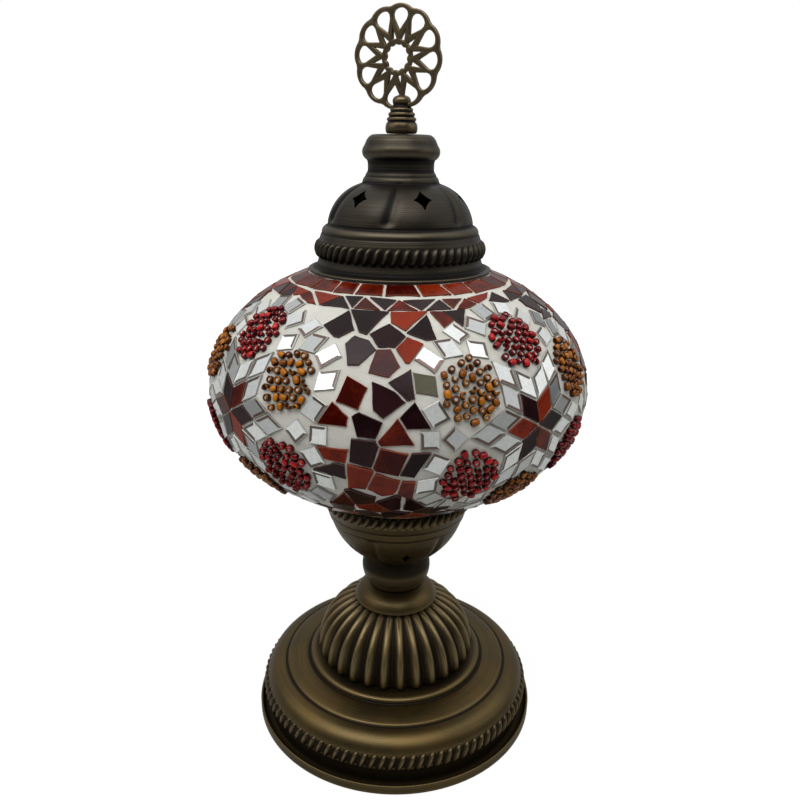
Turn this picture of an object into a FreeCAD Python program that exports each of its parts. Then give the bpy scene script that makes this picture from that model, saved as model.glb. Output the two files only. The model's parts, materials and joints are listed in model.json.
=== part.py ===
"""Mosaic glass table lamp: a tiled glass globe on a spun brass foot, under a pierced lift-off cap.

The frame's origin is at the middle of the underside, +Z is up and -Y is the front. Millimetres.
Every piece is a solid of its own, written to parts/NAME.step.
"""
import FreeCAD
import Part

import math
import os
import random

V = FreeCAD.Vector
UP = V(0, 0, 1)
ORIGIN = V(0, 0, 0)

# ---------------------------------------------------------------- driving dimensions
running = 0.3            # gap between pieces that move apart
seat_gap = 0.05          # gap between pieces that are set on or in one another

felt_thickness = 1.5
felt_radius = 66.0

pan_radius = 72.0        # rolled rim, the widest part of the base
pan_rim_top = 5.2
pan_rim_width = 1.5
pan_rim_lift = 0.3       # the rim stays clear of the table
pan_sheet = 1.0
pan_well_radius = 20.0   # raised middle that hides the nut
pan_well_height = 8.0

foot_wall = 1.2
foot_radius = 67.2       # straight wall above the pan
foot_wall_height = 8.5
foot_rope = 2.6          # how far the rope bead stands out of that wall
foot_rope_height = 8.6
shoulder_radius = 57.3   # crease between the shoulder and the upper step
shoulder_height = 6.2
step_radius = 45.1       # edge of the small ring under the bell
step_height = 2.6
foot_ring_height = 2.6
foot_mouth = 33.0

bell_radius = 40.8       # over the ribs, at the widest
bell_height = 30.4
bell_top_radius = 20.6
bell_ribs = 30
bell_rib_depth = 0.17    # of the rib's own width
bell_wall = 2.2

collar_radius = 21.2
collar_edge = 1.6
collar_height = 10.6
collar_top_radius = 15.6

ball_radius = 17.2
ball_height = 15.4
ball_end_radius = 15.2

cup_foot_radius = 16.0
cup_bowl_radius = 33.2
cup_bowl_height = 22.0
cup_band_radius = 36.4
cup_band_height = 7.6
cup_rope = 2.4
cup_rope_height = 6.6
cup_rim_radius = 38.4
cup_rim_height = 1.2
cup_mouth = 33.0
cup_wall = 1.0
cup_vents = 6
cup_vent_turn = 10.0
cup_bulge = (0.66, 0.45)   # where the bowl is roundest, as shares of its run and height
cup_vent_width = 5.6
cup_vent_length = 8.0

tube_radius = 5.0        # M10 x 1 hollow rod
tube_bore = 3.6
nut_width = 17.0         # across the flats
nut_height = 5.0
washer_radius = 12.0
washer_thickness = 1.4

inlet_radius = 3.05      # hole for the lead in the rubber grommet
inlet_wall = 0.6
inlet_lip = 0.5
inlet_height = 4.3       # above the pan's floor
inlet_groove = 0.4       # more than the wall it grips, because that wall is curved

holder_radius = 13.5     # small Edison screw lamp holder
holder_base_height = 15.0
holder_sleeve_height = 23.0
holder_sleeve_bore = 9.2
screw_shell_radius = 8.2
screw_shell_bore = 7.3
screw_shell_height = 19.0
contact_width = 5.0
contact_thickness = 0.8

bulb_thread_radius = 6.9
bulb_cap_height = 18.0
bulb_insulator_height = 1.7
bulb_contact_radius = 2.3
bulb_contact_height = 1.0
bulb_radius = 22.5
bulb_length = 56.0       # glass alone
bulb_glass = 1.0

globe_radius = 84.0      # blown glass, before the mosaic
globe_half_height = 55.1
globe_glass = 2.4
globe_foot_mouth = 31.5
globe_top_mouth = 37.0
bed_thickness = 1.2      # adhesive and grout under the tiles
band_arcs = 10           # arcs in a meridian of the glass and of its bed
tile_thickness = 2.2

medallions = 4
medallion_turn = 39.0    # degrees from the front of one star's middle
medallion_lift = 2.0     # star's middle above the equator, along the glass
star_side = 9.2
grout_line = 1.1
star_line = 0.6          # grout between the rhombs
disc_distance = 32.5     # star's middle to a bead disc's middle
disc_radius = 11.8       # sideways
disc_stretch = 1.07      # a disc's height over its width, its squares with it
bead_height = 3.2
square_side = 7.2
square_distance = 16.2   # bead disc's middle to a mirror square's middle
valley_inner = 1.14      # two squares between neighbouring discs, as shares of disc_distance
valley_outer = 1.42
valley_side = 0.92       # of square_side
rim_tile_radius = 40.3   # where the mosaic stops under the cap and over the cup
rim_tile_length = 9.8
point_tile_length = 7.8
rim_tiles = 6            # for each medallion
paving_pitch = 9.0       # least distance between the middles of two paving tiles
paving_tries = 90        # shapes tried in each gap, of which the best is cut
paving_lean = 3.0        # degrees
extra_corner = 22.0      # area a fifth or sixth corner has to bring
scallop_radius = 50.6     # edge of a medallion, and how far its scallops swing
scallop_swing = 1.8
smallest_tile = 16.0
mosaic_seed = 11

cap_flange_radius = 42.2
cap_flange_edge = 1.0
cap_rope_radius = 38.2
cap_shoulder_radius = 32.2
cap_neck_radius = 14.5
cap_roll_radius = 16.7
cap_height = 57.4        # flange to flat top
cap_wall = 1.0
cap_vents = 6
cap_vent_turn = 20.0
cap_vent_width = 7.0
cap_vent_length = 9.6
press_depth = 0.45       # pressed grooves between the vents
press_width = 3.4        # degrees

clip_width = 7.0
clip_thickness = 0.8
clip_reach = 6.5         # below the edge of the glass
stud_radius = 3.0        # M6
stud_nut_width = 10.0
stud_nut_height = 5.0
stud_grip = 8.0          # length of stud in the knob

knob_radius = 6.9
knob_height = 15.6
knob_tip_radius = 3.2
rosette_radius = 20.0
rosette_thickness = 2.2
rosette_petals = 12
rosette_turn = -33.0
rosette_seat = 5.2       # depth of the slot that holds it

# ---------------------------------------------------------------- heights, from the table up
pan_floor = felt_thickness + pan_sheet
foot_top = pan_floor + foot_wall_height + foot_rope_height + shoulder_height + step_height + foot_ring_height
bell_top = foot_top + bell_height
collar_top = bell_top + collar_height
ball_top = collar_top + ball_height
cup_floor = ball_top + cup_wall
cup_top = ball_top + cup_bowl_height + cup_band_height + cup_rope_height + cup_rim_height
cup_nut_top = cup_floor + nut_height
holder_sleeve_foot = cup_nut_top + holder_base_height
tube_top = cup_nut_top + holder_base_height * 0.55
contact_top = holder_sleeve_foot + 2.0 * contact_thickness
bulb_foot = contact_top + bulb_contact_height + bulb_insulator_height
bulb_shoulder = bulb_foot + bulb_cap_height

bed_radius = globe_radius + bed_thickness
bed_half_height = globe_half_height + bed_thickness
gasket_height = 2.3
globe_middle = cup_top + gasket_height + bed_half_height * math.sqrt(1 - (cup_mouth / bed_radius) ** 2)
tile_radius = bed_radius + tile_thickness
tile_half_height = bed_half_height + tile_thickness


def height_on(radius, half_width, half_height):
    """Height above the globe's middle of a spheroid's surface at a distance from the axis."""
    return half_height * math.sqrt(1 - (radius / half_width) ** 2)


cap_foot = globe_middle + height_on(cap_flange_radius, tile_radius, tile_half_height) + 2 * running
cap_top = cap_foot + cap_height
knob_foot = cap_top + running
knob_top = knob_foot + knob_height
rosette_middle = knob_top - rosette_seat + rosette_radius


# ---------------------------------------------------------------- drawing helpers
def outline(start, *steps):
    """Wire in the XZ plane. A step is (r, z) for a line or (r, z, r, z) for an arc through a point."""
    edges = []
    here = V(start[0], 0, start[1])
    for step in steps:
        there = V(step[-2], 0, step[-1])
        if len(step) == 2:
            edges.append(Part.makeLine(here, there))
        else:
            edges.append(Part.Arc(here, V(step[0], 0, step[1]), there).toShape())
        here = there
    return Part.Wire(edges)


def turned(wire, degrees=360.0):
    """Solid of revolution of a closed outline about the lamp's axis."""
    return Part.Face(wire).revolve(ORIGIN, UP, degrees)


def closed(start, *steps):
    """Closed outline: the last line returns to the start."""
    return outline(start, *steps, start)


def ring(inner, outer, foot, top):
    """Plain ring or disc."""
    solid = Part.makeCylinder(outer, top - foot, V(0, 0, foot))
    if inner > 0:
        solid = solid.cut(Part.makeCylinder(inner, top - foot, V(0, 0, foot)))
    return solid


def hexagon(width, height, foot, hole):
    """Hexagon nut with its bore."""
    corner = width / math.sqrt(3)
    points = [V(corner * math.cos(math.radians(60 * k)), corner * math.sin(math.radians(60 * k)), foot)
              for k in range(7)]
    prism = Part.Face(Part.makePolygon(points)).extrude(V(0, 0, height))
    return prism.cut(Part.makeCylinder(hole, height, V(0, 0, foot)))


def on_circle(radius, degrees, height=0.0):
    """Point at an angle from +X towards +Y."""
    return V(radius * math.cos(math.radians(degrees)), radius * math.sin(math.radians(degrees)), height)


def from_front(degrees):
    """Angle from the lamp's front, turned into one from +X."""
    return degrees - 90


def turned_copies(solid, count, first=0.0):
    """Copies of a solid around the axis."""
    copies = []
    for k in range(count):
        copy = solid.copy()
        copy.rotate(ORIGIN, UP, first + 360.0 * k / count)
        copies.append(copy)
    return copies


def four_point_cutter(width, length, radius, height, tilt, depth):
    """Prism on a diamond with hollow sides, facing out of a sloping wall on the +X side."""
    tips = [V(0, width / 2, 0), V(0, 0, length / 2), V(0, -width / 2, 0), V(0, 0, -length / 2)]
    waist = 0.36
    edges = []
    for k in range(4):
        a, b = tips[k], tips[(k + 1) % 4]
        edges.append(Part.Arc(a, (a + b) * waist, b).toShape())
    cutter = Part.Face(Part.Wire(edges)).extrude(V(2 * depth, 0, 0))
    cutter.translate(V(-depth, 0, 0))
    cutter.rotate(ORIGIN, V(0, 1, 0), -tilt)
    cutter.translate(V(radius, 0, height))
    return cutter


# ---------------------------------------------------------------- base
def felt_pad():
    return ring(0, felt_radius, 0, felt_thickness)


def base_pan():
    """Tray under the foot: rolled rim, flat floor and a raised middle with the rod's hole."""
    floor = felt_thickness
    well = floor + pan_well_height
    inner = pan_radius - pan_rim_width
    slope = pan_well_radius + 4.0
    return turned(closed(
        (tube_radius + seat_gap, well), (pan_well_radius, well), (slope, floor), (inner - 2.0, floor),
        (inner, pan_rim_lift), (pan_radius - 0.4, pan_rim_lift), (pan_radius, pan_rim_lift + 0.5),
        (pan_radius, pan_rim_top - 0.8),
        (pan_radius - 0.2, pan_rim_top, inner, pan_rim_top - 0.4),
        (inner, pan_floor), (slope + 0.5, pan_floor),
        (pan_well_radius + 0.5, well + pan_sheet), (tube_radius + seat_gap, well + pan_sheet)))


def base_weight():
    """Cast ring that rests on the pan around its raised middle."""
    inner = pan_well_radius + 8.0
    outer = foot_radius - foot_wall - 6.0
    top = pan_floor + foot_wall_height + 4.0
    draft = 1.5
    return turned(closed((inner, pan_floor), (outer, pan_floor), (outer - draft, top), (inner + draft, top)))


def stepped_foot():
    """Wall with its rope bead, rounded shoulder, upper step and the small ring under the bell."""
    z0 = pan_floor
    z1 = z0 + foot_wall_height
    z2 = z1 + foot_rope_height
    z3 = z2 + shoulder_height
    z4 = z3 + step_height
    shoulder_run = foot_radius - shoulder_radius
    step_run = shoulder_radius - step_radius
    ring_run = step_radius - bell_radius
    outer = outline(
        (foot_radius, z0), (foot_radius, z1),
        (foot_radius + foot_rope, (z1 + z2) / 2, foot_radius, z2),
        (foot_radius - 0.27 * shoulder_run, z2 + 0.68 * shoulder_height, shoulder_radius, z3),
        (shoulder_radius - 0.3, z3 + 0.7),
        (shoulder_radius - 0.5 * step_run, z4 - 0.25, step_radius, z4 - 0.2),
        (step_radius, z4 + 0.7),
        (step_radius - 0.45 * ring_run, foot_top - 0.55, bell_radius + 0.2, foot_top),
        (foot_mouth, foot_top))
    lining = [(foot_mouth, foot_top - foot_wall), (step_radius - 1.6 * foot_wall, foot_top - 2.2 * foot_wall),
              (shoulder_radius - 2.0, z3 - foot_wall), (foot_radius - 4.2, z2 + 0.2 * shoulder_height),
              (foot_radius - foot_wall, z1), (foot_radius - foot_wall, z0)]
    inner = outline(lining[0], *lining[1:])
    lid = Part.makeLine(V(foot_mouth, 0, foot_top), V(*_xz(lining[0])))
    foot = Part.makeLine(V(*_xz(lining[-1])), V(foot_radius, 0, z0))
    shell = turned(Part.Wire(outer.Edges + [lid] + inner.Edges + [foot]))
    inlet = Part.makeCylinder(inlet_radius + inlet_wall, 2 * foot_wall + 4, V(0, foot_radius - foot_wall - 2,
                              pan_floor + inlet_height), V(0, 1, 0))
    return shell.cut(inlet)


def _xz(point):
    return point[0], 0, point[1]


def cord_grommet():
    """Rubber bush in the back of the foot, where the lead comes in."""
    lip = inlet_radius + inlet_wall + inlet_lip
    seat = inlet_radius + inlet_wall
    half = (foot_wall + inlet_groove) / 2
    back = foot_radius - half + 0.06
    collar = half + 1.2
    profile = [(inlet_radius, -collar), (lip, -collar), (lip, -half), (seat, -half),
               (seat, half), (lip, half), (lip - 0.3, collar), (inlet_radius, collar)]
    points = [V(r, 0, t) for r, t in profile]
    bush = Part.Face(Part.makePolygon(points + points[:1])).revolve(ORIGIN, UP, 360)
    bush.rotate(ORIGIN, V(1, 0, 0), -90)
    bush.translate(V(0, back, pan_floor + inlet_height))
    return bush


def rib_section(ridge, height):
    """Ring of outward bows that meet in sharp valleys."""
    step = 360.0 / bell_ribs
    valley = ridge - 2 * ridge * math.sin(math.radians(step / 2)) * bell_rib_depth * 1.6
    start = from_front(4.0) - step / 2
    edges = []
    for k in range(bell_ribs):
        a = on_circle(valley, start + step * k, height)
        top = on_circle(ridge, start + step * (k + 0.5), height)
        b = on_circle(valley, start + step * (k + 1), height)
        edges.append(Part.Arc(a, top, b).toShape())
    return Part.Wire(edges)


def bell_curve(height, widest, tall):
    """Radius of the bell's rounded wall: an arc that stands upright near the foot."""
    rise = tall - 2.0
    run = widest - bell_top_radius
    big = (run * run + rise * rise) / (2 * run)
    above = max(height - 2.0, 0.0)
    return widest - big + math.sqrt(big * big - above * above) - 0.25 * max(2.0 - height, 0.0)


def fluted_bell():
    """Cast bell: one smooth loft over a ribbed section at each height, hollow inside."""
    shares = (0.0, 0.1, 0.3, 0.5, 0.7, 0.87, 1.0)
    sections = [rib_section(bell_curve(s * bell_height, bell_radius, bell_height), foot_top + s * bell_height)
                for s in shares]
    bell = Part.makeLoft(sections, True, False)
    inner = [(bell_curve(s * bell_height, bell_radius, bell_height) - 2 * bell_wall, foot_top + s * bell_height)
             for s in (0.0, 0.3, 0.6, 0.85)]
    roof = bell_top - bell_wall
    hollow = turned(closed((0, foot_top), *inner, (inner[-1][0] - 3.0, roof), (0, roof)))
    bore = Part.makeCylinder(tube_radius + seat_gap, bell_wall, V(0, 0, roof))
    return bell.cut(hollow).cut(bore)


def bell_collar():
    """Flared collar that covers the end of the ribs."""
    z0, z2 = bell_top, collar_top
    run = collar_radius - collar_top_radius
    return turned(closed(
        (tube_radius + seat_gap, z0), (collar_radius, z0), (collar_radius, z0 + collar_edge),
        (collar_radius - 0.28 * run, z0 + 0.62 * collar_height, collar_top_radius, z2),
        (tube_radius + seat_gap, z2)))


def neck_ball():
    middle = (collar_top + ball_top) / 2
    return turned(closed(
        (tube_radius + seat_gap, collar_top), (ball_end_radius, collar_top),
        (ball_radius, middle, ball_end_radius, ball_top), (tube_radius + seat_gap, ball_top)))


def gallery_cup():
    """Spun cup that holds the globe: pierced bowl, two fine lines, rope bead and turned-in rim."""
    z0 = ball_top
    z1 = z0 + cup_bowl_height
    z2 = z1 + cup_band_height
    z3 = z2 + cup_rope_height
    half_band = (cup_bowl_radius + 0.7 + cup_band_radius) / 2
    round_radius = cup_foot_radius + cup_bulge[0] * (cup_bowl_radius - cup_foot_radius)
    round_height = z0 + cup_bulge[1] * cup_bowl_height
    outer = outline(
        (cup_foot_radius, z0), (round_radius, round_height, cup_bowl_radius, z1),
        (cup_bowl_radius + 0.7, z1 + 0.8), (half_band, z1 + 0.55 * cup_band_height),
        (half_band + 0.1, z1 + 0.7 * cup_band_height), (cup_band_radius, z2),
        (cup_band_radius + cup_rope, (z2 + z3) / 2, cup_rim_radius - 1.2, z3),
        (cup_rim_radius, z3 + 0.2), (cup_rim_radius, cup_top), (cup_mouth, cup_top),
        (cup_mouth, cup_top - cup_wall), (cup_band_radius - 0.6, cup_top - cup_wall),
        (cup_band_radius - 0.8, z2), (cup_bowl_radius - cup_wall, z1),
        (round_radius - 0.75 * cup_wall, round_height + 0.75 * cup_wall, cup_foot_radius - 0.5, cup_floor),
        (tube_radius + seat_gap, cup_floor), (tube_radius + seat_gap, z0), (cup_foot_radius, z0))
    cup = turned(outer)
    vent = four_point_cutter(cup_vent_width, cup_vent_length, round_radius, round_height, -44, 4.0)
    return cup.cut(Part.makeCompound(turned_copies(vent, cup_vents, from_front(cup_vent_turn))))


# ---------------------------------------------------------------- rod and nuts
def centre_tube():
    return ring(tube_bore, tube_radius, felt_thickness + 1.0, tube_top)


def base_washer():
    top = felt_thickness + pan_well_height
    return ring(tube_radius + seat_gap, washer_radius, top - washer_thickness, top)


def base_nut():
    top = felt_thickness + pan_well_height - washer_thickness
    return hexagon(nut_width, nut_height, top - nut_height, tube_radius + seat_gap)


def cup_nut():
    return hexagon(nut_width, nut_height, cup_floor, tube_radius + seat_gap)


# ---------------------------------------------------------------- lamp holder and bulb
def holder_base():
    """Moulded foot of the lamp holder, screwed down the rod on to the cup's nut."""
    z0, z1 = cup_nut_top, holder_sleeve_foot
    body = turned(closed(
        (0, z0), (holder_radius - 3.0, z0), (holder_radius - 0.6, z0 + 1.4, holder_radius, z0 + 4.5),
        (holder_radius, z1), (0, z1)))
    thread = Part.makeCylinder(tube_radius + seat_gap, tube_top - z0, V(0, 0, z0))
    wires = Part.makeCylinder(tube_bore, z1 - tube_top - 2.0, V(0, 0, tube_top))
    return body.cut(thread).cut(wires)


def holder_sleeve():
    z0 = holder_sleeve_foot
    z1 = z0 + holder_sleeve_height
    return turned(closed(
        (holder_sleeve_bore, z0), (holder_radius - 0.4, z0), (holder_radius - 0.4, z1 - 1.0),
        (holder_radius - 1.4, z1), (holder_sleeve_bore, z1)))


def holder_screw_shell():
    z0 = holder_sleeve_foot
    shell = ring(screw_shell_bore, screw_shell_radius, z0 + 0.5, z0 + screw_shell_height)
    floor = ring(contact_width * 0.9, screw_shell_radius, z0, z0 + 0.5)
    return shell.fuse(floor)


def holder_contact():
    """Folded strip that the bulb's tip presses on."""
    z0 = holder_sleeve_foot
    half = contact_width / 2
    leaf = contact_thickness * 0.6
    points = [(-half, z0), (half, z0), (half, contact_top), (-half, contact_top),
              (-half, contact_top - leaf), (half - leaf, contact_top - leaf), (half - leaf, z0 + leaf),
              (-half, z0 + leaf)]
    corners = [V(x, -half / 2, z) for x, z in points]
    return Part.Face(Part.makePolygon(corners + corners[:1])).extrude(V(0, half, 0))


def bulb_cap():
    z0, z1 = bulb_foot, bulb_shoulder
    return turned(closed((0, z0), (bulb_thread_radius - 1.2, z0), (bulb_thread_radius, z0 + 1.6),
                         (bulb_thread_radius, z1), (0, z1)))


def bulb_insulator():
    z0, z1 = contact_top + bulb_contact_height, bulb_foot
    return turned(closed((0, z0), (bulb_contact_radius + 0.8, z0), (bulb_thread_radius - 1.6, z1), (0, z1)))


def bulb_contact():
    z0, z1 = contact_top, contact_top + bulb_contact_height
    return turned(closed((0, z0), (bulb_contact_radius - 0.6, z0), (bulb_contact_radius, z1), (0, z1)))


def bulb_envelope():
    """Round opal bulb blown on a short neck, closed on to its cap."""
    z0 = bulb_shoulder
    z2 = z0 + bulb_length
    middle = z2 - bulb_radius
    join = bulb_radius * 0.78
    z_join = middle - math.sqrt(bulb_radius ** 2 - join ** 2)
    neck = bulb_thread_radius + 0.4
    glass = bulb_glass
    inside = bulb_radius - glass
    return turned(outline(
        (neck, z0), (neck + 0.35 * (join - neck), z0 + 0.50 * (z_join - z0), join, z_join),
        (bulb_radius, middle, 0, z2), (0, z2 - glass),
        (inside, middle, join - 0.75 * glass, z_join + 0.65 * glass),
        (neck + 0.35 * (join - neck) - 0.9 * glass, z0 + 0.50 * (z_join - z0) + 0.5 * glass, neck - glass, z0),
        (neck, z0)))


# ---------------------------------------------------------------- globe
def spheroid_band(half_width, half_height, foot_mouth, top_mouth, wall):
    """Shell between two spheroids, open at the foot and at the top, its meridian drawn in short arcs."""
    def meridian_points(a, b):
        first, last = -math.acos(foot_mouth / a), math.acos(top_mouth / a)
        angles = [first + (last - first) * k / (2 * band_arcs) for k in range(2 * band_arcs + 1)]
        return [(a * math.cos(u), globe_middle + b * math.sin(u)) for u in angles]

    def arcs(points):
        return [(*points[k], *points[k + 1]) for k in range(1, len(points), 2)]

    outer = meridian_points(half_width, half_height)
    inner = meridian_points(half_width - wall, half_height - wall)[::-1]
    return turned(outline(outer[0], *arcs(outer), inner[0], *arcs(inner), outer[0]))


def globe_glass_shell():
    return spheroid_band(globe_radius, globe_half_height, globe_foot_mouth, globe_top_mouth, globe_glass)


def grout_bed():
    return spheroid_band(bed_radius, bed_half_height, cup_mouth + 1.0, globe_top_mouth + 0.8,
                         bed_thickness - seat_gap)


def globe_gasket():
    """Soft ring on the cup's rim, shaped to the glass that rests on it."""
    inner, outer = cup_mouth + 0.6, cup_mouth + 4.0
    top = []
    for radius in (outer, (inner + outer) / 2, inner):
        top.append((radius, globe_middle - height_on(radius, bed_radius, bed_half_height) - seat_gap))
    return turned(closed((inner, cup_top), (outer, cup_top), *top))


# ---------------------------------------------------------------- mosaic
def meridian_table():
    """Length along the bed's meridian from the equator, at every half degree of the parametric angle."""
    table = [(0.0, 0.0)]
    step = math.radians(0.5)
    for k in range(170):
        middle = (k + 0.5) * step
        speed = math.hypot(bed_radius * math.sin(middle), bed_half_height * math.cos(middle))
        table.append(((k + 1) * step, table[-1][1] + speed * step))
    return table


meridian = meridian_table()


def angle_at(length):
    """Parametric angle at a signed length along the meridian."""
    size = abs(length)
    for (u0, s0), (u1, s1) in zip(meridian, meridian[1:]):
        if size <= s1:
            return math.copysign(u0 + (u1 - u0) * (size - s0) / (s1 - s0), length)
    return math.copysign(meridian[-1][0], length)


def length_at(radius):
    """Length along the meridian where the bed has this radius."""
    angle = math.acos(radius / bed_radius)
    for (u0, s0), (u1, s1) in zip(meridian, meridian[1:]):
        if angle <= u1:
            return s0 + (s1 - s0) * (angle - u0) / (u1 - u0)
    return meridian[-1][1]


def bed_point(across, along, turn):
    """Point on the bed and its normal, from lengths around and along the globe and a turn in degrees."""
    u = angle_at(along)
    radius = bed_radius * math.cos(u)
    lon = math.radians(from_front(turn)) + across / radius
    point = V(radius * math.cos(lon), radius * math.sin(lon), globe_middle + bed_half_height * math.sin(u))
    normal = V(math.cos(u) * math.cos(lon) / bed_radius, math.cos(u) * math.sin(lon) / bed_radius,
               math.sin(u) / bed_half_height)
    return point, normal.normalize()


def middle_of(polygon):
    """Centroid of a flat polygon."""
    area = cx = cy = 0.0
    for (x0, y0), (x1, y1) in zip(polygon, polygon[1:] + polygon[:1]):
        cross = x0 * y1 - x1 * y0
        area += cross / 2
        cx += (x0 + x1) * cross / 6
        cy += (y0 + y1) * cross / 6
    return cx / area, cy / area, area


def tile(polygon, turn, thickness=tile_thickness):
    """Flat tile laid on the bed where its middle touches it."""
    cx, cy, _ = middle_of(polygon)
    seat, normal = bed_point(cx, cy, turn)
    seat = seat + normal * seat_gap
    corners = []
    for x, y in polygon:
        corner, _ = bed_point(x, y, turn)
        corners.append(corner - normal * (corner - seat).dot(normal))
    return Part.Face(Part.makePolygon(corners + corners[:1])).extrude(normal * thickness)


def inset(polygon, gap):
    """Convex polygon drawn in by a gap; empty when nothing is left."""
    lines = []
    for (x0, y0), (x1, y1) in zip(polygon, polygon[1:] + polygon[:1]):
        size = math.hypot(x1 - x0, y1 - y0)
        nx, ny = -(y1 - y0) / size, (x1 - x0) / size
        lines.append((nx, ny, nx * x0 + ny * y0 + gap))
    kept = polygon
    for nx, ny, offset in lines:
        kept = clip(kept, nx, ny, offset)
        if len(kept) < 3:
            return []
    return kept


def clip(polygon, nx, ny, offset):
    """Part of a convex polygon on the inner side of a line."""
    kept = []
    for (x0, y0), (x1, y1) in zip(polygon, polygon[1:] + polygon[:1]):
        d0 = nx * x0 + ny * y0 - offset
        d1 = nx * x1 + ny * y1 - offset
        if d0 >= 0:
            kept.append((x0, y0))
        if d0 * d1 < 0:
            share = d0 / (d0 - d1)
            kept.append((x0 + (x1 - x0) * share, y0 + (y1 - y0) * share))
    return tidy_corners(kept)


def tidy_corners(polygon):
    """Drop corners closer together than a chip of glass."""
    kept = []
    for x, y in polygon:
        if not kept or math.hypot(x - kept[-1][0], y - kept[-1][1]) > 0.6:
            kept.append((x, y))
    if len(kept) > 1 and math.hypot(kept[0][0] - kept[-1][0], kept[0][1] - kept[-1][1]) <= 0.6:
        kept.pop()
    return kept


def polar(radius, degrees, centre=(0.0, 0.0)):
    return (centre[0] + radius * math.cos(math.radians(degrees)),
            centre[1] + radius * math.sin(math.radians(degrees)))


def stretched(radius, degrees, centre):
    """Point of an upright oval round a bead disc's middle."""
    x, y = polar(radius, degrees)
    return centre[0] + x, centre[1] + y * disc_stretch


def rhomb(corner, first, second, side):
    """Rhomb from one corner along two directions."""
    a = polar(side, first, corner)
    b = polar(side, second, a)
    return [corner, a, b, polar(side, second, corner)]


def square(centre, side, turn):
    return [polar(side / math.sqrt(2), turn + 45 + 90 * k, centre) for k in range(4)]


def medallion(turn, tiles):
    """Six-pointed star of rhombs, its mirror rhombs, six bead discs and their scalloped edge of squares."""
    star = (0.0, medallion_lift)
    gap = star_line / 2
    outlines = []
    for k in range(6):
        tip = 60 * k
        point = rhomb(star, tip - 30, tip + 30, star_side)
        star_name = "star_tiles_dark" if k % 2 == 0 else "star_tiles_red"
        tiles[star_name].append(tile(inset(point, gap), turn))
        for corner, first, second in ((polar(star_side, tip - 30, star), tip - 30, tip + 30),
                                      (point[2], tip - 30, tip + 30),
                                      (polar(star_side, tip + 30, star), tip - 30, tip + 30)):
            tiles["mirror_rhombs"].append(tile(inset(rhomb(corner, first, second, star_side), gap), turn))
        disc = polar(disc_distance, tip + 30, star)
        disc_name = "amber_bead_beds" if k % 2 == 0 else "ruby_bead_beds"
        outlines.append([stretched(disc_radius, 30 * j + 15, disc) for j in range(12)])
        tiles[disc_name].append(tile(outlines[-1], turn, bead_height))
        for spread in (-54, -18, 18, 54):
            centre = stretched(square_distance, tip + 30 + spread, disc)
            name = "tinted_squares" if (k, spread) == (2, 18) else "mirror_squares"
            outlines.append(square(centre, square_side, tip + 30 + spread))
            tiles[name].append(tile(outlines[-1], turn))
        for share, lean in ((valley_inner, 45), (valley_outer, 0)):
            centre = polar(disc_distance * share, tip, star)
            outlines.append(square(centre, square_side * valley_side, tip + lean))
            tiles["mirror_squares"].append(tile(outlines[-1], turn))
    return outlines


def at_degrees(degrees, along):
    """Lengths around and along the globe of a point given by its turn from the sector's middle."""
    return bed_radius * math.cos(angle_at(along)) * math.radians(degrees), along


def seen_from(polygon, degrees):
    """The same polygon on the globe, measured from a line this many degrees before its own."""
    return [(x + bed_radius * math.cos(angle_at(y)) * math.radians(degrees), y) for x, y in polygon]


def size_of(polygon):
    return middle_of(polygon)[2] if len(polygon) > 2 else 0.0


def cut_from(piece, other):
    """The largest part of a piece on the outer side of one of the other's sides, with grout between."""
    parts = []
    for (x0, y0), (x1, y1) in zip(other, other[1:] + other[:1]):
        size = math.hypot(x1 - x0, y1 - y0)
        nx, ny = (y1 - y0) / size, (x0 - x1) / size
        parts.append(clip(piece, nx, ny, nx * x0 + ny * y0 + grout_line / 2))
    return max(parts, key=size_of)


def touch(one, other):
    """Whether two convex polygons overlap."""
    for first, second in ((one, other), (other, one)):
        for (x0, y0), (x1, y1) in zip(first, first[1:] + first[:1]):
            nx, ny = -(y1 - y0), x1 - x0
            if all(nx * (x - x0) + ny * (y - y0) <= 0 for x, y in second):
                return False
    return True


def medallion_edge(degrees):
    """Distance from the star's middle to the scalloped edge of its squares."""
    return scallop_radius + scallop_swing * math.cos(math.radians(6 * (degrees - 30)))


def leaning(polygon, degrees):
    """Polygon turned a little about its middle."""
    cx, cy, _ = middle_of(polygon)
    c, s = math.cos(math.radians(degrees)), math.sin(math.radians(degrees))
    return [(cx + (x - cx) * c - (y - cy) * s, cy + (x - cx) * s + (y - cy) * c) for x, y in polygon]


def lay(polygon, turn, name, tiles, dice, keep_off=()):
    """Cut a piece back from what lies there already, draw it in by its share of the grout and lay it."""
    for other in keep_off:
        if size_of(polygon) > smallest_tile and touch(polygon, other):
            polygon = cut_from(polygon, other)
    if size_of(polygon) > smallest_tile:
        polygon = inset(polygon, grout_line * dice.uniform(0.5, 0.85))
    if size_of(polygon) > smallest_tile:
        tiles[name].append(tile(leaning(polygon, dice.uniform(-paving_lean, paving_lean)), turn))


def neighbours(turn, laid):
    """Outlines of the medallions beside a line on the globe, measured from that line."""
    near = []
    for other_turn, outlines in laid:
        away = (other_turn - turn + 180) % 360 - 180
        if abs(away) < 270.0 / medallions:
            near += [seen_from(outline_, away) for outline_ in outlines]
    return near


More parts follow.
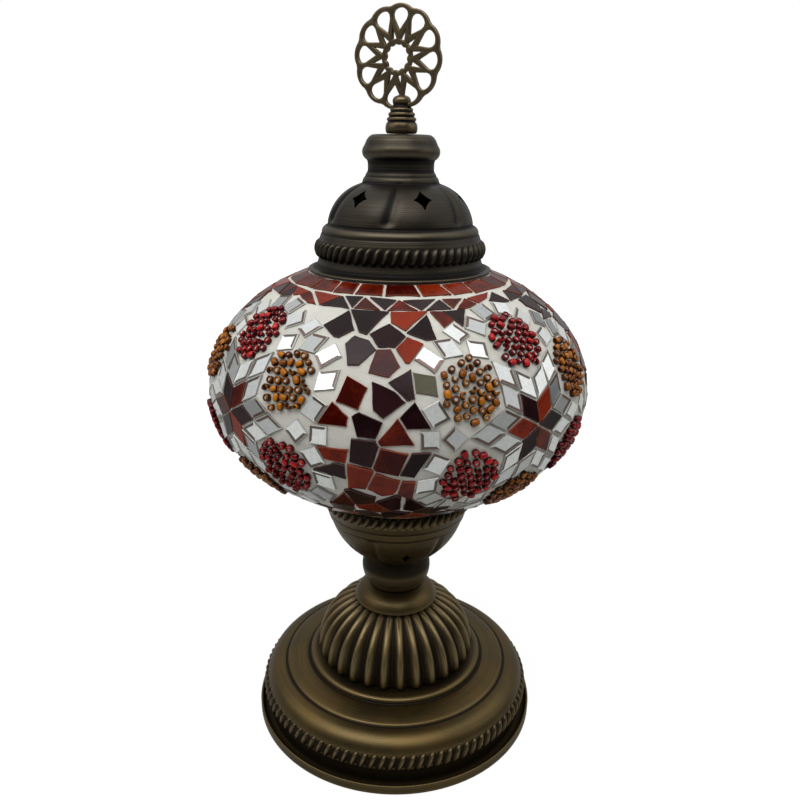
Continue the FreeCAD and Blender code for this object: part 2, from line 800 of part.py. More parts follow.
def rim_rows(dice, tiles, laid):
    """Row of red tiles under the cap and over the cup, each with a row of points beside it."""
    count = medallions * rim_tiles
    pitch = 360.0 / count
    limit = length_at(rim_tile_radius)
    for side in (1, -1):
        edge, inner, last = (side * limit, side * (limit - rim_tile_length),
                             side * (limit - rim_tile_length - point_tile_length))
        cuts = [(dice.uniform(-3.0, 3.0), dice.uniform(-2.2, 2.2)) for _ in range(count)]
        tips = [(dice.uniform(-3.0, 3.0), inner + dice.uniform(-0.9, 0.9)) for _ in range(count)]
        feet = [dice.uniform(-2.6, 2.6) for _ in range(count)]
        for k in range(count):
            after = (k + 1) % count
            turn = medallion_turn + pitch * (k + 0.5)
            left, right = -pitch / 2, pitch / 2
            foot = inner + side
            quad = [at_degrees(left + cuts[k][0], foot), at_degrees(right + cuts[after][0], foot),
                    at_degrees(right + cuts[after][1], edge), at_degrees(left + cuts[k][1], edge)]
            point = [at_degrees(left + feet[k], last), at_degrees(right + feet[after], last),
                     at_degrees(*tips[k])]
            gap = [at_degrees(right + feet[after], last), at_degrees(pitch + tips[after][0], tips[after][1]),
                   at_degrees(*tips[k])]
            if side < 0:
                quad, point, gap = quad[::-1], point[::-1], gap[::-1]
            near = neighbours(turn, laid)
            lay(quad, turn, "rim_tiles", tiles, dice)
            lay(point, turn, "dark_tiles" if dice.random() < 0.75 else "red_tiles", tiles, dice, near)
            lay(gap, turn, "red_tiles" if dice.random() < 0.65 else "dark_tiles", tiles, dice, near)


def in_medallion(degrees, along):
    """Whether a place on the globe is inside the scalloped edge of a medallion."""
    half = 180.0 / medallions
    away = (degrees - medallion_turn + half) % (2 * half) - half
    x, y = at_degrees(away, along)
    y -= medallion_lift
    return math.hypot(x, y) < medallion_edge(math.degrees(math.atan2(y, x)))


def on_medallion(place, middle):
    """Whether a point measured from a place is inside a medallion."""
    radius = bed_radius * math.cos(angle_at(middle[1]))
    return in_medallion(place[0] + math.degrees(middle[0] / radius), middle[1])


def apart(one, other):
    """Offset of another place from one, around and along the globe."""
    away = (other[0] - one[0] + 180) % 360 - 180
    return at_degrees(away, other[1])[0], other[1] - one[1]


def paving_places(limit, dice):
    """Middles of the paving tiles, thrown at random until no more fit."""
    places = []
    for _ in range(paving_tries * 250):
        place = (dice.uniform(0, 360), dice.uniform(-limit + paving_pitch * 0.4, limit - paving_pitch * 0.4))
        clear = all(math.hypot(*apart(place, other)) > paving_pitch for other in places)
        if clear and not in_medallion(*place):
            places.append(place)
    return places


def random_shape(dice):
    """Triangle, square or lopsided four-sided offcut, any way up."""
    corners = dice.choice((3, 4))
    reach = paving_pitch * (dice.uniform(0.84, 1.1) if corners == 3 else dice.uniform(0.66, 0.88))
    turn = dice.uniform(0, 360)
    return [polar(reach * dice.uniform(0.86, 1.14), turn + 360.0 / corners * (k + dice.uniform(-0.12, 0.12)))
            for k in range(corners)]


def clipped(piece, shape, centre):
    for (x0, y0), (x1, y1) in zip(shape, shape[1:] + shape[:1]):
        nx, ny = y0 - y1, x1 - x0
        size = math.hypot(nx, ny)
        nx, ny = nx / size, ny / size
        piece = clip(piece, nx, ny, nx * (x0 + centre[0]) + ny * (y0 + centre[1]))
        if len(piece) < 3:
            return []
    return piece


def paving(limit, dice, tiles, laid):
    """Hand-cut tiles that fill the ground between the medallions, each in the room its neighbours leave."""
    places = paving_places(limit, dice)
    coloured = []
    for place in places:
        reach = 2.2 * paving_pitch
        low, high = max(-limit, place[1] - reach), min(limit, place[1] + reach)
        room = [(-reach, low), (reach, low), (reach, high), (-reach, high)]
        for other in places:
            x, y = apart(place, other)
            far = math.hypot(x, y)
            if 0 < far < 2 * reach:
                room = clip(room, -x / far, -y / far, -(x * x / 2 + y * (place[1] + y / 2)) / far)
        for outline_ in neighbours(place[0], laid):
            if size_of(room) > smallest_tile and touch(room, outline_):
                room = cut_from(room, outline_)
        room = inset(room, grout_line / 2) if size_of(room) > smallest_tile else []
        if size_of(room) > smallest_tile and not on_medallion(place, middle_of(room)):
            centre = middle_of(room)
            shapes = [clipped(room, random_shape(dice), centre) for _ in range(paving_tries)]
            best = max(shapes, key=lambda shape: size_of(shape) - extra_corner * max(0, len(shape) - 4))
            if size_of(best) > smallest_tile:
                beside = [red for other, red in coloured
                          if math.hypot(*apart(place, other)) < 1.5 * paving_pitch]
                red = beside.count(True) < beside.count(False) if dice.random() < 0.6 else dice.random() < 0.5
                coloured.append((place, red))
                tiles["red_tiles" if red else "dark_tiles"].append(tile(best, place[0]))


def mosaic():
    """All the tiles of the globe, as one group for each kind of glass."""
    names = ("star_tiles_dark", "star_tiles_red", "mirror_rhombs", "mirror_squares", "tinted_squares",
             "amber_bead_beds", "ruby_bead_beds", "rim_tiles", "red_tiles", "dark_tiles")
    tiles = {name: [] for name in names}
    dice = random.Random(mosaic_seed)
    turns = [medallion_turn + 360.0 / medallions * k for k in range(medallions)]
    laid = [(turn, medallion(turn, tiles)) for turn in turns]
    rim_rows(dice, tiles, laid)
    paving(length_at(rim_tile_radius) - rim_tile_length - point_tile_length, dice, tiles, laid)
    return {name: Part.makeCompound(group) for name, group in tiles.items()}


# ---------------------------------------------------------------- cap
def flange_under(radius):
    """Underside of the cap's flange, clear of the tiles below it."""
    return globe_middle + height_on(radius, tile_radius, tile_half_height) + 2 * running


def cap_outline():
    """Outside of the cap from the edge of its flange to the stud hole."""
    z0 = cap_foot
    neck_run = cap_roll_radius - cap_neck_radius
    return outline(
        (cap_flange_radius, z0), (cap_flange_radius, z0 + cap_flange_edge),
        (cap_rope_radius - 0.9, z0 + 2.6), (cap_rope_radius - 1.6, z0 + 4.4),
        (cap_rope_radius - 1.2, z0 + 6.0),
        (cap_rope_radius, z0 + 9.6, cap_rope_radius - 1.0, z0 + 12.8),
        (cap_rope_radius - 2.4, z0 + 14.0), (cap_rope_radius - 3.2, z0 + 15.8),
        (cap_shoulder_radius + 1.8, z0 + 18.2, cap_shoulder_radius + 0.3, z0 + 19.6),
        (cap_shoulder_radius, z0 + 21.0),
        (cap_shoulder_radius - 4.0, z0 + 30.2, cap_neck_radius + 4.4, z0 + 36.8),
        (cap_neck_radius + 2.7, z0 + 38.4, cap_neck_radius + 2.0, z0 + 40.6),
        (cap_neck_radius + 0.4, z0 + 42.0), (cap_neck_radius, z0 + 43.6), (cap_neck_radius, z0 + 45.6),
        (cap_neck_radius + 0.5, z0 + 46.8),
        (cap_roll_radius, z0 + 50.2, cap_roll_radius - 0.45 * neck_run, z0 + 53.8),
        (cap_neck_radius - 0.6, z0 + 56.6, cap_neck_radius - 2.4, z0 + cap_height),
        (stud_radius + seat_gap, z0 + cap_height))


def cap_shell():
    """Spun and pressed cap: flange, rope bead, lobed and pierced dome, neck and rolled top."""
    z0 = cap_foot
    w = cap_wall
    outer = cap_outline()
    inner_points = [
        (stud_radius + seat_gap, cap_top - w), (cap_neck_radius - 2.4, cap_top - w),
        (cap_roll_radius - 1.6 * w, z0 + 52.6), (cap_roll_radius - w, z0 + 50.2),
        (cap_neck_radius - w, z0 + 46.2), (cap_neck_radius - w, z0 + 42.6),
        (cap_neck_radius + 1.2, z0 + 38.0), (cap_neck_radius + 3.6, z0 + 36.3)]
    dome_foot = (cap_shoulder_radius - 1.3 * w, z0 + 21.0)
    inner = outline(inner_points[0], *inner_points[1:],
                    (cap_shoulder_radius - 4.0 - 0.8 * w, z0 + 30.2 - 0.8 * w, *dome_foot),
                    (cap_rope_radius - 3.2 - 1.3 * w, z0 + 14.6), (cap_rope_radius - 1.6 - 1.2 * w, z0 + 12.0),
                    (cap_rope_radius - 1.6 - 1.2 * w, z0 + 3.6),
                    (cap_rope_radius - 1.6, flange_under(cap_rope_radius - 1.6)))
    under = Part.makeLine(V(cap_rope_radius - 1.6, 0, flange_under(cap_rope_radius - 1.6)),
                          V(cap_flange_radius, 0, z0))
    top = Part.makeLine(V(stud_radius + seat_gap, 0, cap_top), V(stud_radius + seat_gap, 0, cap_top - w))
    shell = turned(Part.Wire(outer.Edges + [top] + inner.Edges + [under]))
    vent = four_point_cutter(cap_vent_width, cap_vent_length, cap_shoulder_radius - 5.2, z0 + 32.2, 43, 4.0)
    cuts = turned_copies(vent, cap_vents, from_front(cap_vent_turn))
    press_turn = cap_vent_turn - 180.0 / cap_vents - press_width / 2
    cuts += turned_copies(press_groove(), cap_vents, from_front(press_turn))
    return shell.cut(Part.makeCompound(cuts))


def press_groove():
    """Narrow sector just inside the dome's surface, from its shoulder to the bead below."""
    z0 = cap_foot
    d = press_depth
    foot = (cap_shoulder_radius + 0.15, z0 + 20.2)
    head = (cap_neck_radius + 5.0, z0 + 36.6)
    crown = (cap_shoulder_radius - 4.0, z0 + 30.2)
    return turned(outline((foot[0] - d, foot[1]),
                          (crown[0] - 0.8 * d, crown[1] - 0.8 * d, head[0], head[1] - d),
                          (head[0] + 3.0, head[1] + 3.0), (crown[0] + 4.0, crown[1] + 4.0),
                          (foot[0] + 3.0, foot[1]), (foot[0] - d, foot[1])), press_width)


def cap_clips():
    """Sprung strip legs on a common hub: they run down inside the cap and into the mouth of the glass."""
    z0 = cap_foot
    t = clip_thickness
    hub_top = cap_top - cap_wall
    mouth = globe_top_mouth - running - 0.2
    glass_edge = globe_middle + height_on(globe_top_mouth, globe_radius, globe_half_height)
    tip = glass_edge - clip_reach
    band = cap_rope_radius - 1.6 - 1.2 * cap_wall - running
    shoulder = cap_rope_radius - 3.2 - 1.3 * cap_wall - running
    neck = cap_neck_radius - 2.4 - running - 2 * t
    path = [(stud_radius, hub_top - t), (neck, hub_top - t), (neck, z0 + 41.0),
            (cap_neck_radius + 2.5, z0 + 34.6), (cap_shoulder_radius - 5.6, z0 + 26.5),
            (cap_shoulder_radius - 2.9, z0 + 19.0), (shoulder - t, z0 + 14.4), (band - t, z0 + 11.0),
            (band - t, z0 + 3.0),
            (mouth - t, glass_edge), (mouth - t, tip)]
    back = [(mouth, tip), (mouth, glass_edge + 0.2), (band, z0 + 3.2), (band, z0 + 11.2),
            (shoulder, z0 + 14.6), (cap_shoulder_radius - 2.1, z0 + 19.2),
            (cap_shoulder_radius - 4.9, z0 + 27.0), (cap_neck_radius + 3.1, z0 + 35.3),
            (neck + t, z0 + 41.3), (neck + t, hub_top), (stud_radius, hub_top)]
    corners = [V(r, -clip_width / 2, z) for r, z in path + back]
    leg = Part.Face(Part.makePolygon(corners + corners[:1])).extrude(V(0, clip_width, 0))
    legs = turned_copies(leg, 3, 90.0)
    hub = Part.makeCylinder(neck + t, t, V(0, 0, hub_top - t))
    bore = Part.makeCylinder(stud_radius + seat_gap, 2 * t, V(0, 0, hub_top - 1.5 * t))
    return hub.fuse(legs).cut(bore)


def stud_nut():
    top = cap_top - cap_wall - clip_thickness
    return hexagon(stud_nut_width, stud_nut_height, top - stud_nut_height, stud_radius + seat_gap)


def cap_stud():
    foot = cap_top - cap_wall - clip_thickness - stud_nut_height - 2.0
    return ring(0, stud_radius, foot, knob_foot + stud_grip)


# ---------------------------------------------------------------- finial
def finial_knob():
    """Cast knob with stepped beads, tapped for the stud and slotted for the rosette."""
    z0 = knob_foot
    r = knob_radius
    body = turned(closed(
        (0, z0), (r - 0.5, z0), (r, z0 + 2.2, r - 0.5, z0 + 4.4), (r - 1.1, z0 + 4.9),
        (r - 0.5, z0 + 5.8, r - 1.2, z0 + 6.7), (r - 1.7, z0 + 7.0),
        (r - 1.1, z0 + 7.8, r - 1.8, z0 + 8.6), (r - 2.3, z0 + 8.9),
        (r - 1.9, z0 + 9.6, r - 2.6, z0 + 10.4),
        (knob_tip_radius + 0.6, z0 + 12.0), (knob_tip_radius + 0.1, knob_top - 1.2),
        (knob_tip_radius - 1.0, knob_top),
        (0, knob_top)))
    thread = Part.makeCylinder(stud_radius + seat_gap, stud_grip + 0.4, V(0, 0, z0))
    slot = Part.makeCylinder(rosette_radius, rosette_thickness, V(0, 0, 0))
    slot = upright(slot)
    return body.cut(thread).cut(slot)


def upright(flat):
    """Stand a piece drawn flat on the table up on the knob, turned as the rosette is."""
    flat.translate(V(0, 0, -rosette_thickness / 2))
    flat.rotate(ORIGIN, V(1, 0, 0), 90)
    flat.rotate(ORIGIN, UP, rosette_turn)
    flat.translate(V(0, 0, rosette_middle))
    return flat


def rosette_point(share, degrees):
    return on_circle(rosette_radius * share, degrees)


def rosette_ring(valley, peak):
    """Closed ring of arcs between evenly spaced valleys."""
    step = 360.0 / rosette_petals
    edges = []
    for k in range(rosette_petals):
        edges.append(Part.Arc(rosette_point(valley, (k - 0.5) * step), rosette_point(peak, k * step),
                              rosette_point(valley, (k + 0.5) * step)).toShape())
    return Part.Wire(edges)


def finial_rosette():
    """Pierced disc: scalloped rim, a pointed arch in every petal and a small window under each crossing."""
    step = 360.0 / rosette_petals
    rim = rosette_ring(0.945, 1.0)
    hole = rosette_ring(0.275, 0.235)
    faces = []
    for k in range(rosette_petals):
        mid = k * step
        apex = rosette_point(0.51, mid)
        one = rosette_point(0.73, mid + 0.36 * step)
        other = rosette_point(0.73, mid - 0.36 * step)
        crown = Part.Arc(one, rosette_point(0.915, mid), other).toShape()
        faces.append(Part.Face(Part.Wire([Part.makeLine(apex, one), crown, Part.makeLine(other, apex)])))
        cross = mid + step / 2
        corners = [rosette_point(0.56, cross), rosette_point(0.35, cross + 0.24 * step),
                   rosette_point(0.35, cross - 0.24 * step)]
        faces.append(Part.Face(Part.makePolygon(corners + corners[:1])))
    plate = Part.Face(rim).cut(Part.makeCompound([Part.Face(hole)] + faces))
    return upright(plate.extrude(V(0, 0, rosette_thickness)))


# ---------------------------------------------------------------- output
def main():
    pieces = {
        "felt_pad": felt_pad(), "base_pan": base_pan(), "base_weight": base_weight(),
        "stepped_foot": stepped_foot(), "cord_grommet": cord_grommet(), "fluted_bell": fluted_bell(),
        "bell_collar": bell_collar(), "neck_ball": neck_ball(), "gallery_cup": gallery_cup(),
        "centre_tube": centre_tube(), "base_washer": base_washer(), "base_nut": base_nut(),
        "cup_nut": cup_nut(), "holder_base": holder_base(), "holder_sleeve": holder_sleeve(),
        "holder_screw_shell": holder_screw_shell(), "holder_contact": holder_contact(),
        "bulb_cap": bulb_cap(), "bulb_insulator": bulb_insulator(), "bulb_contact": bulb_contact(),
        "bulb_envelope": bulb_envelope(), "globe_glass": globe_glass_shell(), "grout_bed": grout_bed(),
        "globe_gasket": globe_gasket(), "cap_shell": cap_shell(), "cap_clips": cap_clips(),
        "cap_stud": cap_stud(), "stud_nut": stud_nut(), "finial_knob": finial_knob(),
        "finial_rosette": finial_rosette(),
    }
    pieces.update(mosaic())
    os.makedirs("parts", exist_ok=True)
    for name, shape in pieces.items():
        shape.exportStep(f"parts/{name}.step")
        print(name, len(shape.Solids), round(shape.Volume / 1000, 2), "cm3")
    print("height", round(rosette_middle + rosette_radius, 2), "cap foot", round(cap_foot, 2),
          "globe middle", round(globe_middle, 2), "cup top", round(cup_top, 2))


main()
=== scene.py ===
import json
import math
import random

import bmesh
import bpy
import numpy as np
from mathutils import Matrix, Vector

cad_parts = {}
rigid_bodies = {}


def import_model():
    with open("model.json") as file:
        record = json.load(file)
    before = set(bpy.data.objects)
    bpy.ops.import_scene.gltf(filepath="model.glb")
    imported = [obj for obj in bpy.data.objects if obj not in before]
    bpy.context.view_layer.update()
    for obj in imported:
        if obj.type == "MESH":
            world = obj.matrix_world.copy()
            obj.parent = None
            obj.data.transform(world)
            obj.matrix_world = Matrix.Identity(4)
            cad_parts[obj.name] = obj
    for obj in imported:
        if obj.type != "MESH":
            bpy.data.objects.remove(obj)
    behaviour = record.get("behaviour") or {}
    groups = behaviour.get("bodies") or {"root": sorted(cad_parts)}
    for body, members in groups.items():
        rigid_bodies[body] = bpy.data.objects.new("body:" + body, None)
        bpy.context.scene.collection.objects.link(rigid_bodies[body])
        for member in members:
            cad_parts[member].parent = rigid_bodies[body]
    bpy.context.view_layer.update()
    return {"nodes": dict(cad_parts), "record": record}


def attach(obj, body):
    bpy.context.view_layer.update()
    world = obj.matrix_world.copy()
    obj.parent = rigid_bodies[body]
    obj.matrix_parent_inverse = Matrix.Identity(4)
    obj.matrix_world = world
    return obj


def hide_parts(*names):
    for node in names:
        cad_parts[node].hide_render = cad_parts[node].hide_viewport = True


for leftover in list(bpy.data.objects):
    bpy.data.objects.remove(leftover)
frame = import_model()
print("frame loaded,", len(frame["nodes"]), "nodes")

mm = 0.001      # sizes are in millimetres until a mesh is made; angles are in degrees
scene = bpy.context.scene

viewSpec = {
    "place": (0.0, -0.3424, 0.2819),    # metres
    "downward": 18.40,                  # below level
    "yaw": -0.15,
    "roll": 0.75,
    "lens": 33.82,
    "sensor": 36.0,
    "nearest": 0.01,
    "farthest": 20.0,
}


def turned(axis, angle):
    return Matrix.Rotation(math.radians(angle), 4, axis)


def makeCamera(spec):
    data = bpy.data.cameras.new("lampCamera")
    data.lens, data.sensor_width = spec["lens"], spec["sensor"]
    data.clip_start, data.clip_end = spec["nearest"], spec["farthest"]
    camera = bpy.data.objects.new("lampCamera", data)
    scene.collection.objects.link(camera)
    turn = turned("Z", spec["yaw"]) @ turned("X", 90 - spec["downward"]) @ turned("Z", spec["roll"])
    camera.matrix_world = Matrix.Translation(spec["place"]) @ turn
    scene.camera = camera


makeCamera(viewSpec)
scene.view_settings.view_transform = "Standard"


# a node's socket that Python sums work on
class Signal:
    def __init__(self, tree, socket=None):
        self.tree, self.socket = tree, socket

    # settings are set first, then the sockets by name or number; out picks the output
    def node(self, kind, settings=None, sockets=None, out=0):
        made = self.tree.nodes.new(kind)
        for name, value in (settings or {}).items():
            setattr(made, name, value)
        for name, value in (sockets or {}).items():
            if isinstance(value, Signal):
                self.tree.links.new(value.socket, made.inputs[name])
            else:
                made.inputs[name].default_value = value
        return Signal(self.tree, made.outputs[out] if len(made.outputs) else None)

    def maths(self, operation, other=0.0, swapped=False):
        first, second = (other, self) if swapped else (self, other)
        return self.node("ShaderNodeMath", {"operation": operation}, {0: first, 1: second})

    def rule(operation, swapped=False):
        return lambda self, other: self.maths(operation, other, swapped)

    __add__, __radd__ = rule("ADD"), rule("ADD", True)
    __sub__, __rsub__ = rule("SUBTRACT"), rule("SUBTRACT", True)
    __mul__, __rmul__ = rule("MULTIPLY"), rule("MULTIPLY", True)
    __truediv__, __rtruediv__ = rule("DIVIDE"), rule("DIVIDE", True)
    __pow__, __rpow__ = rule("POWER"), rule("POWER", True)

    # 0 below low, 1 above high, smooth between
    def between(self, low, high):
        return self.node("ShaderNodeMapRange", {"interpolation_type": "SMOOTHSTEP"},
                         {"Value": self, "From Min": low, "From Max": high})

    # a colour that goes from first to second as this goes from 0 to 1
    def tint(self, first, second):
        return self.node("ShaderNodeMix", {"data_type": "RGBA"},
                         {0: self, 6: colour(first), 7: colour(second)}, out=2)


def colour(value):
    return value if isinstance(value, Signal) else (*value, 1.0)


# a recipe gives the shader's sockets, and the height, strength and distance (metres) of its bumps
def finish(name, recipe):
    material = bpy.data.materials.new(name)
    material.use_nodes = True
    material.node_tree.nodes.clear()
    start = Signal(material.node_tree)
    sockets, height, strength, distance = recipe(start)
    sockets["Normal"] = start.node("ShaderNodeBump", {}, {
        "Strength": strength, "Distance": distance, "Height": height})
    skin = start.node("ShaderNodeBsdfPrincipled", {}, sockets)
    start.node("ShaderNodeOutputMaterial", {}, {"Surface": skin})
    return material


def objectPlace(start):
    return start.node("ShaderNodeTexCoord", out="Object")


# the flat map of a tile's own face, in millimetres
def panePlace(start):
    return start.node("ShaderNodeUVMap", {"uv_map": "pane"})


def stretched(start, spot, scale):
    return start.node("ShaderNodeMapping", {}, {"Vector": spot, "Scale": scale})


def named(start, name):
    return start.node("ShaderNodeAttribute", {"attribute_name": name}, out="Fac")


def cloud(start, spot, scale, detail=3.0, rough=0.55):
    return start.node("ShaderNodeTexNoise", {}, {"Vector": spot, "Scale": scale, "Detail": detail,
                                                 "Roughness": rough})


def parts(start, spot):
    split = start.node("ShaderNodeSeparateXYZ", {}, {"Vector": spot}).socket.node
    return [Signal(start.tree, output) for output in split.outputs]


# radius, height and x of a point on the lamp, so that marks can run round it
def around(start, spot):
    x, y, z = parts(start, spot)
    return (x * x + y * y) ** 0.5, z, x


# antique brass: dark in its creases, from patina and painted shade; bright on its ridges, from rubbing and a
# painted highlight; with the lathe's fine lines
# the parts' tones differ partly as painted light: the foot, bell and cup are made lighter and the cap darker
# to suit how the light falls on each
brassTones = {
    "foot": {"crease": (0.0085, 0.0052, 0.0023), "body": (0.096, 0.0715, 0.0315),
             "warm": (0.132, 0.088, 0.0320), "rub": (0.180, 0.132, 0.060),
             "rough": 0.42, "lines": 0.85, "worn": 0.36, "thread": 9000.0},
    "bell": {"crease": (0.0100, 0.0070, 0.0040), "body": (0.092, 0.066, 0.0335),
             "warm": (0.120, 0.084, 0.0380), "rub": (0.225, 0.168, 0.080),
             "rough": 0.40, "lines": 0.15, "worn": 0.90, "thread": 9000.0},
    "cup": {"crease": (0.0062, 0.0040, 0.0018), "body": (0.088, 0.064, 0.0305),
            "warm": (0.116, 0.081, 0.0345), "rub": (0.150, 0.110, 0.056),
            "rough": 0.38, "lines": 0.6, "worn": 0.6, "thread": 9000.0},
    "cap": {"crease": (0.0052, 0.0045, 0.0038), "body": (0.042, 0.0370, 0.0285),
            "warm": (0.052, 0.0435, 0.0300), "rub": (0.118, 0.097, 0.064),
            "rough": 0.41, "lines": 0.8, "worn": 0.50, "thread": 5200.0},
    "finial": {"crease": (0.0058, 0.0042, 0.0030), "body": (0.034, 0.0270, 0.0185),
               "warm": (0.046, 0.0350, 0.0210), "rub": (0.150, 0.112, 0.062),
               "rough": 0.36, "lines": 0.0, "worn": 0.85, "thread": 5200.0},
}
brassGrain = {"spun": 1600.0, "stretch": 0.008, "drift": 9.0, "patch": 38.0, "fine": 420.0}


def brassRecipe(tone):
    spec = brassTones[tone]

    def recipe(start):
        spot = objectPlace(start)
        radius, height, x = around(start, spot)
        rings = start.node("ShaderNodeCombineXYZ", {},
                           {"X": radius, "Y": x * brassGrain["stretch"], "Z": height})
        patch = cloud(start, spot, brassGrain["patch"], 4.0, 0.6)
        fine = cloud(start, spot, brassGrain["fine"], 3.0, 0.6)
        relief = named(start, "relief")
        thread = ((height - radius) * spec["thread"] + patch * brassGrain["drift"]).maths("SINE")
        lines = cloud(start, rings, brassGrain["spun"], 1.5, 0.5) * 0.65 + (thread * 0.5 + 0.5) * 0.35
        brushed = (lines - 0.5) * spec["lines"]
        # patina with painted shade: creases go towards the crease colour
        creaseDarkening = (relief * -1.0 + (patch - 0.5) * 0.35).between(0.04, 0.72)
        # rubbed wear with a painted highlight: ridges go towards the rubbed colour
        bright = (relief + (fine - 0.5) * 0.25 + brushed * 0.3).between(0.20, 0.95)
        streaks = (brushed * 1.6 + 0.5).between(0.30, 0.70) * 0.40
        shade = patch.between(0.35, 0.68).tint(spec["body"], spec["warm"])
        shade = streaks.tint(shade, spec["crease"])
        shade = (bright * spec["worn"]).tint(shade, spec["rub"])
        sockets = {"Base Color": (creaseDarkening * 0.92).tint(shade, spec["crease"]), "Metallic": 1.0 - creaseDarkening * 0.15,
                   "Roughness": spec["rough"] + (patch - 0.5) * 0.14 + creaseDarkening * 0.18,
                   "Specular IOR Level": 0.3, "Coat Weight": 0.05, "Coat Roughness": 0.30}
        return sockets, lines * spec["lines"] + fine * 0.35, 0.30, 0.00007
    return recipe


def plainMetal(body, dark, rough, metallic=1.0, grain=300.0):
    def recipe(start):
        patch = cloud(start, objectPlace(start), grain * 0.2, 4.0)
        fine = cloud(start, objectPlace(start), grain * 3, 2.0)
        return ({"Base Color": patch.between(0.3, 0.7).tint(body, dark), "Metallic": metallic,
                 "Roughness": rough + (patch - 0.5) * 0.2}, fine, 0.15, 0.00005)
    return recipe


def plainSkin(body, dark, rough, grain, bump=0.3, **more):
    def recipe(start):
        patch = cloud(start, objectPlace(start), grain * 0.1)
        fine = cloud(start, objectPlace(start), grain, 4.0, 0.6)
        return ({"Base Color": (patch * 0.5 + fine * 0.5).between(0.3, 0.7).tint(body, dark),
                 "Roughness": rough + (fine - 0.5) * 0.1, **more}, fine, bump, 0.0002)
    return recipe


# streaked sheet glass: its colour between deep and hot, and where a tile was cut
glassTones = {
    "red": {"deep": (0.032, 0.0012, 0.0005), "hot": (0.215, 0.0185, 0.0026), "cut": (0.22, 0.052, 0.024)},
    "aubergine": {"deep": (0.006, 0.0016, 0.0022), "hot": (0.022, 0.006, 0.0078),
                  "cut": (0.085, 0.042, 0.04)},
    "olive": {"deep": (0.055, 0.053, 0.025), "hot": (0.080, 0.075, 0.040), "cut": (0.16, 0.13, 0.09)},
}
glassGrain = {"along": (0.16, 1.0, 1.0), "streak": 2.2, "grain": 7.0, "glow": 0.11, "wave": 0.22}


def glassRecipe(tone):
    spec = glassTones[tone]

    def recipe(start):
        flat = panePlace(start)
        shade, cut = named(start, "shade"), named(start, "cut")
        streak = cloud(start, stretched(start, flat, glassGrain["along"]), glassGrain["streak"], 4.0, 0.6)
        grain = cloud(start, flat, glassGrain["grain"], 3.0, 0.6)
        glow = cloud(start, flat, glassGrain["glow"], 2.0, 0.5)
        wave = cloud(start, flat, glassGrain["wave"], 2.0, 0.5)
        heat = (streak * 0.75 + shade * 0.55 - 0.50 + glow * 0.65 + (grain - 0.5) * 0.45).between(0.20, 0.85)
        body = heat.tint(spec["deep"], spec["hot"])
        return ({"Base Color": (cut * (0.35 + grain * 0.75)).tint(body, spec["cut"]),
                 "Roughness": 0.10 + cut * 0.25 + grain * 0.08, "Specular IOR Level": 0.14},
                wave * 1.5 + grain * 0.03, 0.10, 0.0002)
    return recipe


# silvered glass: some tiles greyer than others, a painted reflection of darker surroundings; a pale ground
# edge;
# and on two sides a brown band, a painted reflection of the tile's edge in its silvered back
mirrorTone = {
    "silver": (0.90, 0.92, 0.90), "clouded": (0.55, 0.58, 0.56), "grey": (0.30, 0.32, 0.32),
    "cut": (0.28, 0.265, 0.235), "band": (0.080, 0.068, 0.058), "redBand": (0.105, 0.056, 0.044),
    "along": (0.25, 2.5, 1.0), "scratch": 3.0, "bloom": 0.5, "wave": 0.3,
}


def mirrorRecipe(start):
    flat = panePlace(start)
    shade, cut, strip = (named(start, name) for name in ("shade", "cut", "strip"))
    scratch = cloud(start, stretched(start, flat, mirrorTone["along"]), mirrorTone["scratch"], 4.0, 0.65)
    bloom = cloud(start, flat, mirrorTone["bloom"], 3.0, 0.6)
    wave = cloud(start, flat, mirrorTone["wave"], 2.0, 0.5)
    grey = shade.between(0.45, 1.05)
    clouds = (scratch * 0.6 + bloom * 0.4).between(0.36, 0.62) * 0.55
    silver = grey.tint(clouds.tint(mirrorTone["silver"], mirrorTone["clouded"]), mirrorTone["grey"])
    edged = (cut * (0.45 + scratch * 0.5)).tint(silver, mirrorTone["cut"])
    band = shade.tint(mirrorTone["band"], mirrorTone["redBand"])
    return ({"Base Color": (strip * (0.80 + scratch * 0.40)).tint(edged, band),
             "Metallic": 0.42 + grey * 0.3 - strip * 0.3,
             "Roughness": 0.06 + scratch * 0.12 + cut * 0.2, "Specular IOR Level": 0.4},
            wave * 2.0 + scratch * 0.02, 0.10, 0.0002)


groutTone = {
    "dark": (0.52, 0.51, 0.455), "pale": (0.61, 0.60, 0.545), "sandy": (0.34, 0.33, 0.29),
    "dirt": (0.10, 0.05, 0.035), "blotch": 60.0, "sand": 1700.0, "speck": 260.0,
}


def groutRecipe(start):
    spot = objectPlace(start)
    blotch = cloud(start, spot, groutTone["blotch"], 4.0)
    sand = cloud(start, spot, groutTone["sand"], 3.0, 0.7)
    speck = start.node("ShaderNodeTexVoronoi", {"feature": "F1"}, {
        "Vector": spot, "Scale": groutTone["speck"], "Randomness": 1.0}, out="Distance")
    body = blotch.between(0.3, 0.7).tint(groutTone["dark"], groutTone["pale"])
    body = (sand.between(0.35, 0.75) * 0.25).tint(body, groutTone["sandy"])
    dirt = (1.0 - speck.between(0.03, 0.10)) * blotch.between(0.5, 0.62) * 0.75
    return ({"Base Color": dirt.tint(body, groutTone["dirt"]), "Roughness": 0.82, "Specular IOR Level": 0.3},
            sand + blotch * 2.0, 0.5, 0.00025)


# seed beads: painted light and shade make them clear in the middle and dark at their outline and walls; some
# with grout in the hole
beadTones = {
    "amber": {"deep": (0.13, 0.033, 0.0008), "clear": (0.45, 0.142, 0.0012), "rim": (0.05, 0.011, 0.001)},
    "ruby": {"deep": (0.125, 0.0028, 0.005), "clear": (0.46, 0.011, 0.0085), "rim": (0.052, 0.0014, 0.003)},
    "plug": (0.46, 0.44, 0.40),
    "swirl": 700.0,
}


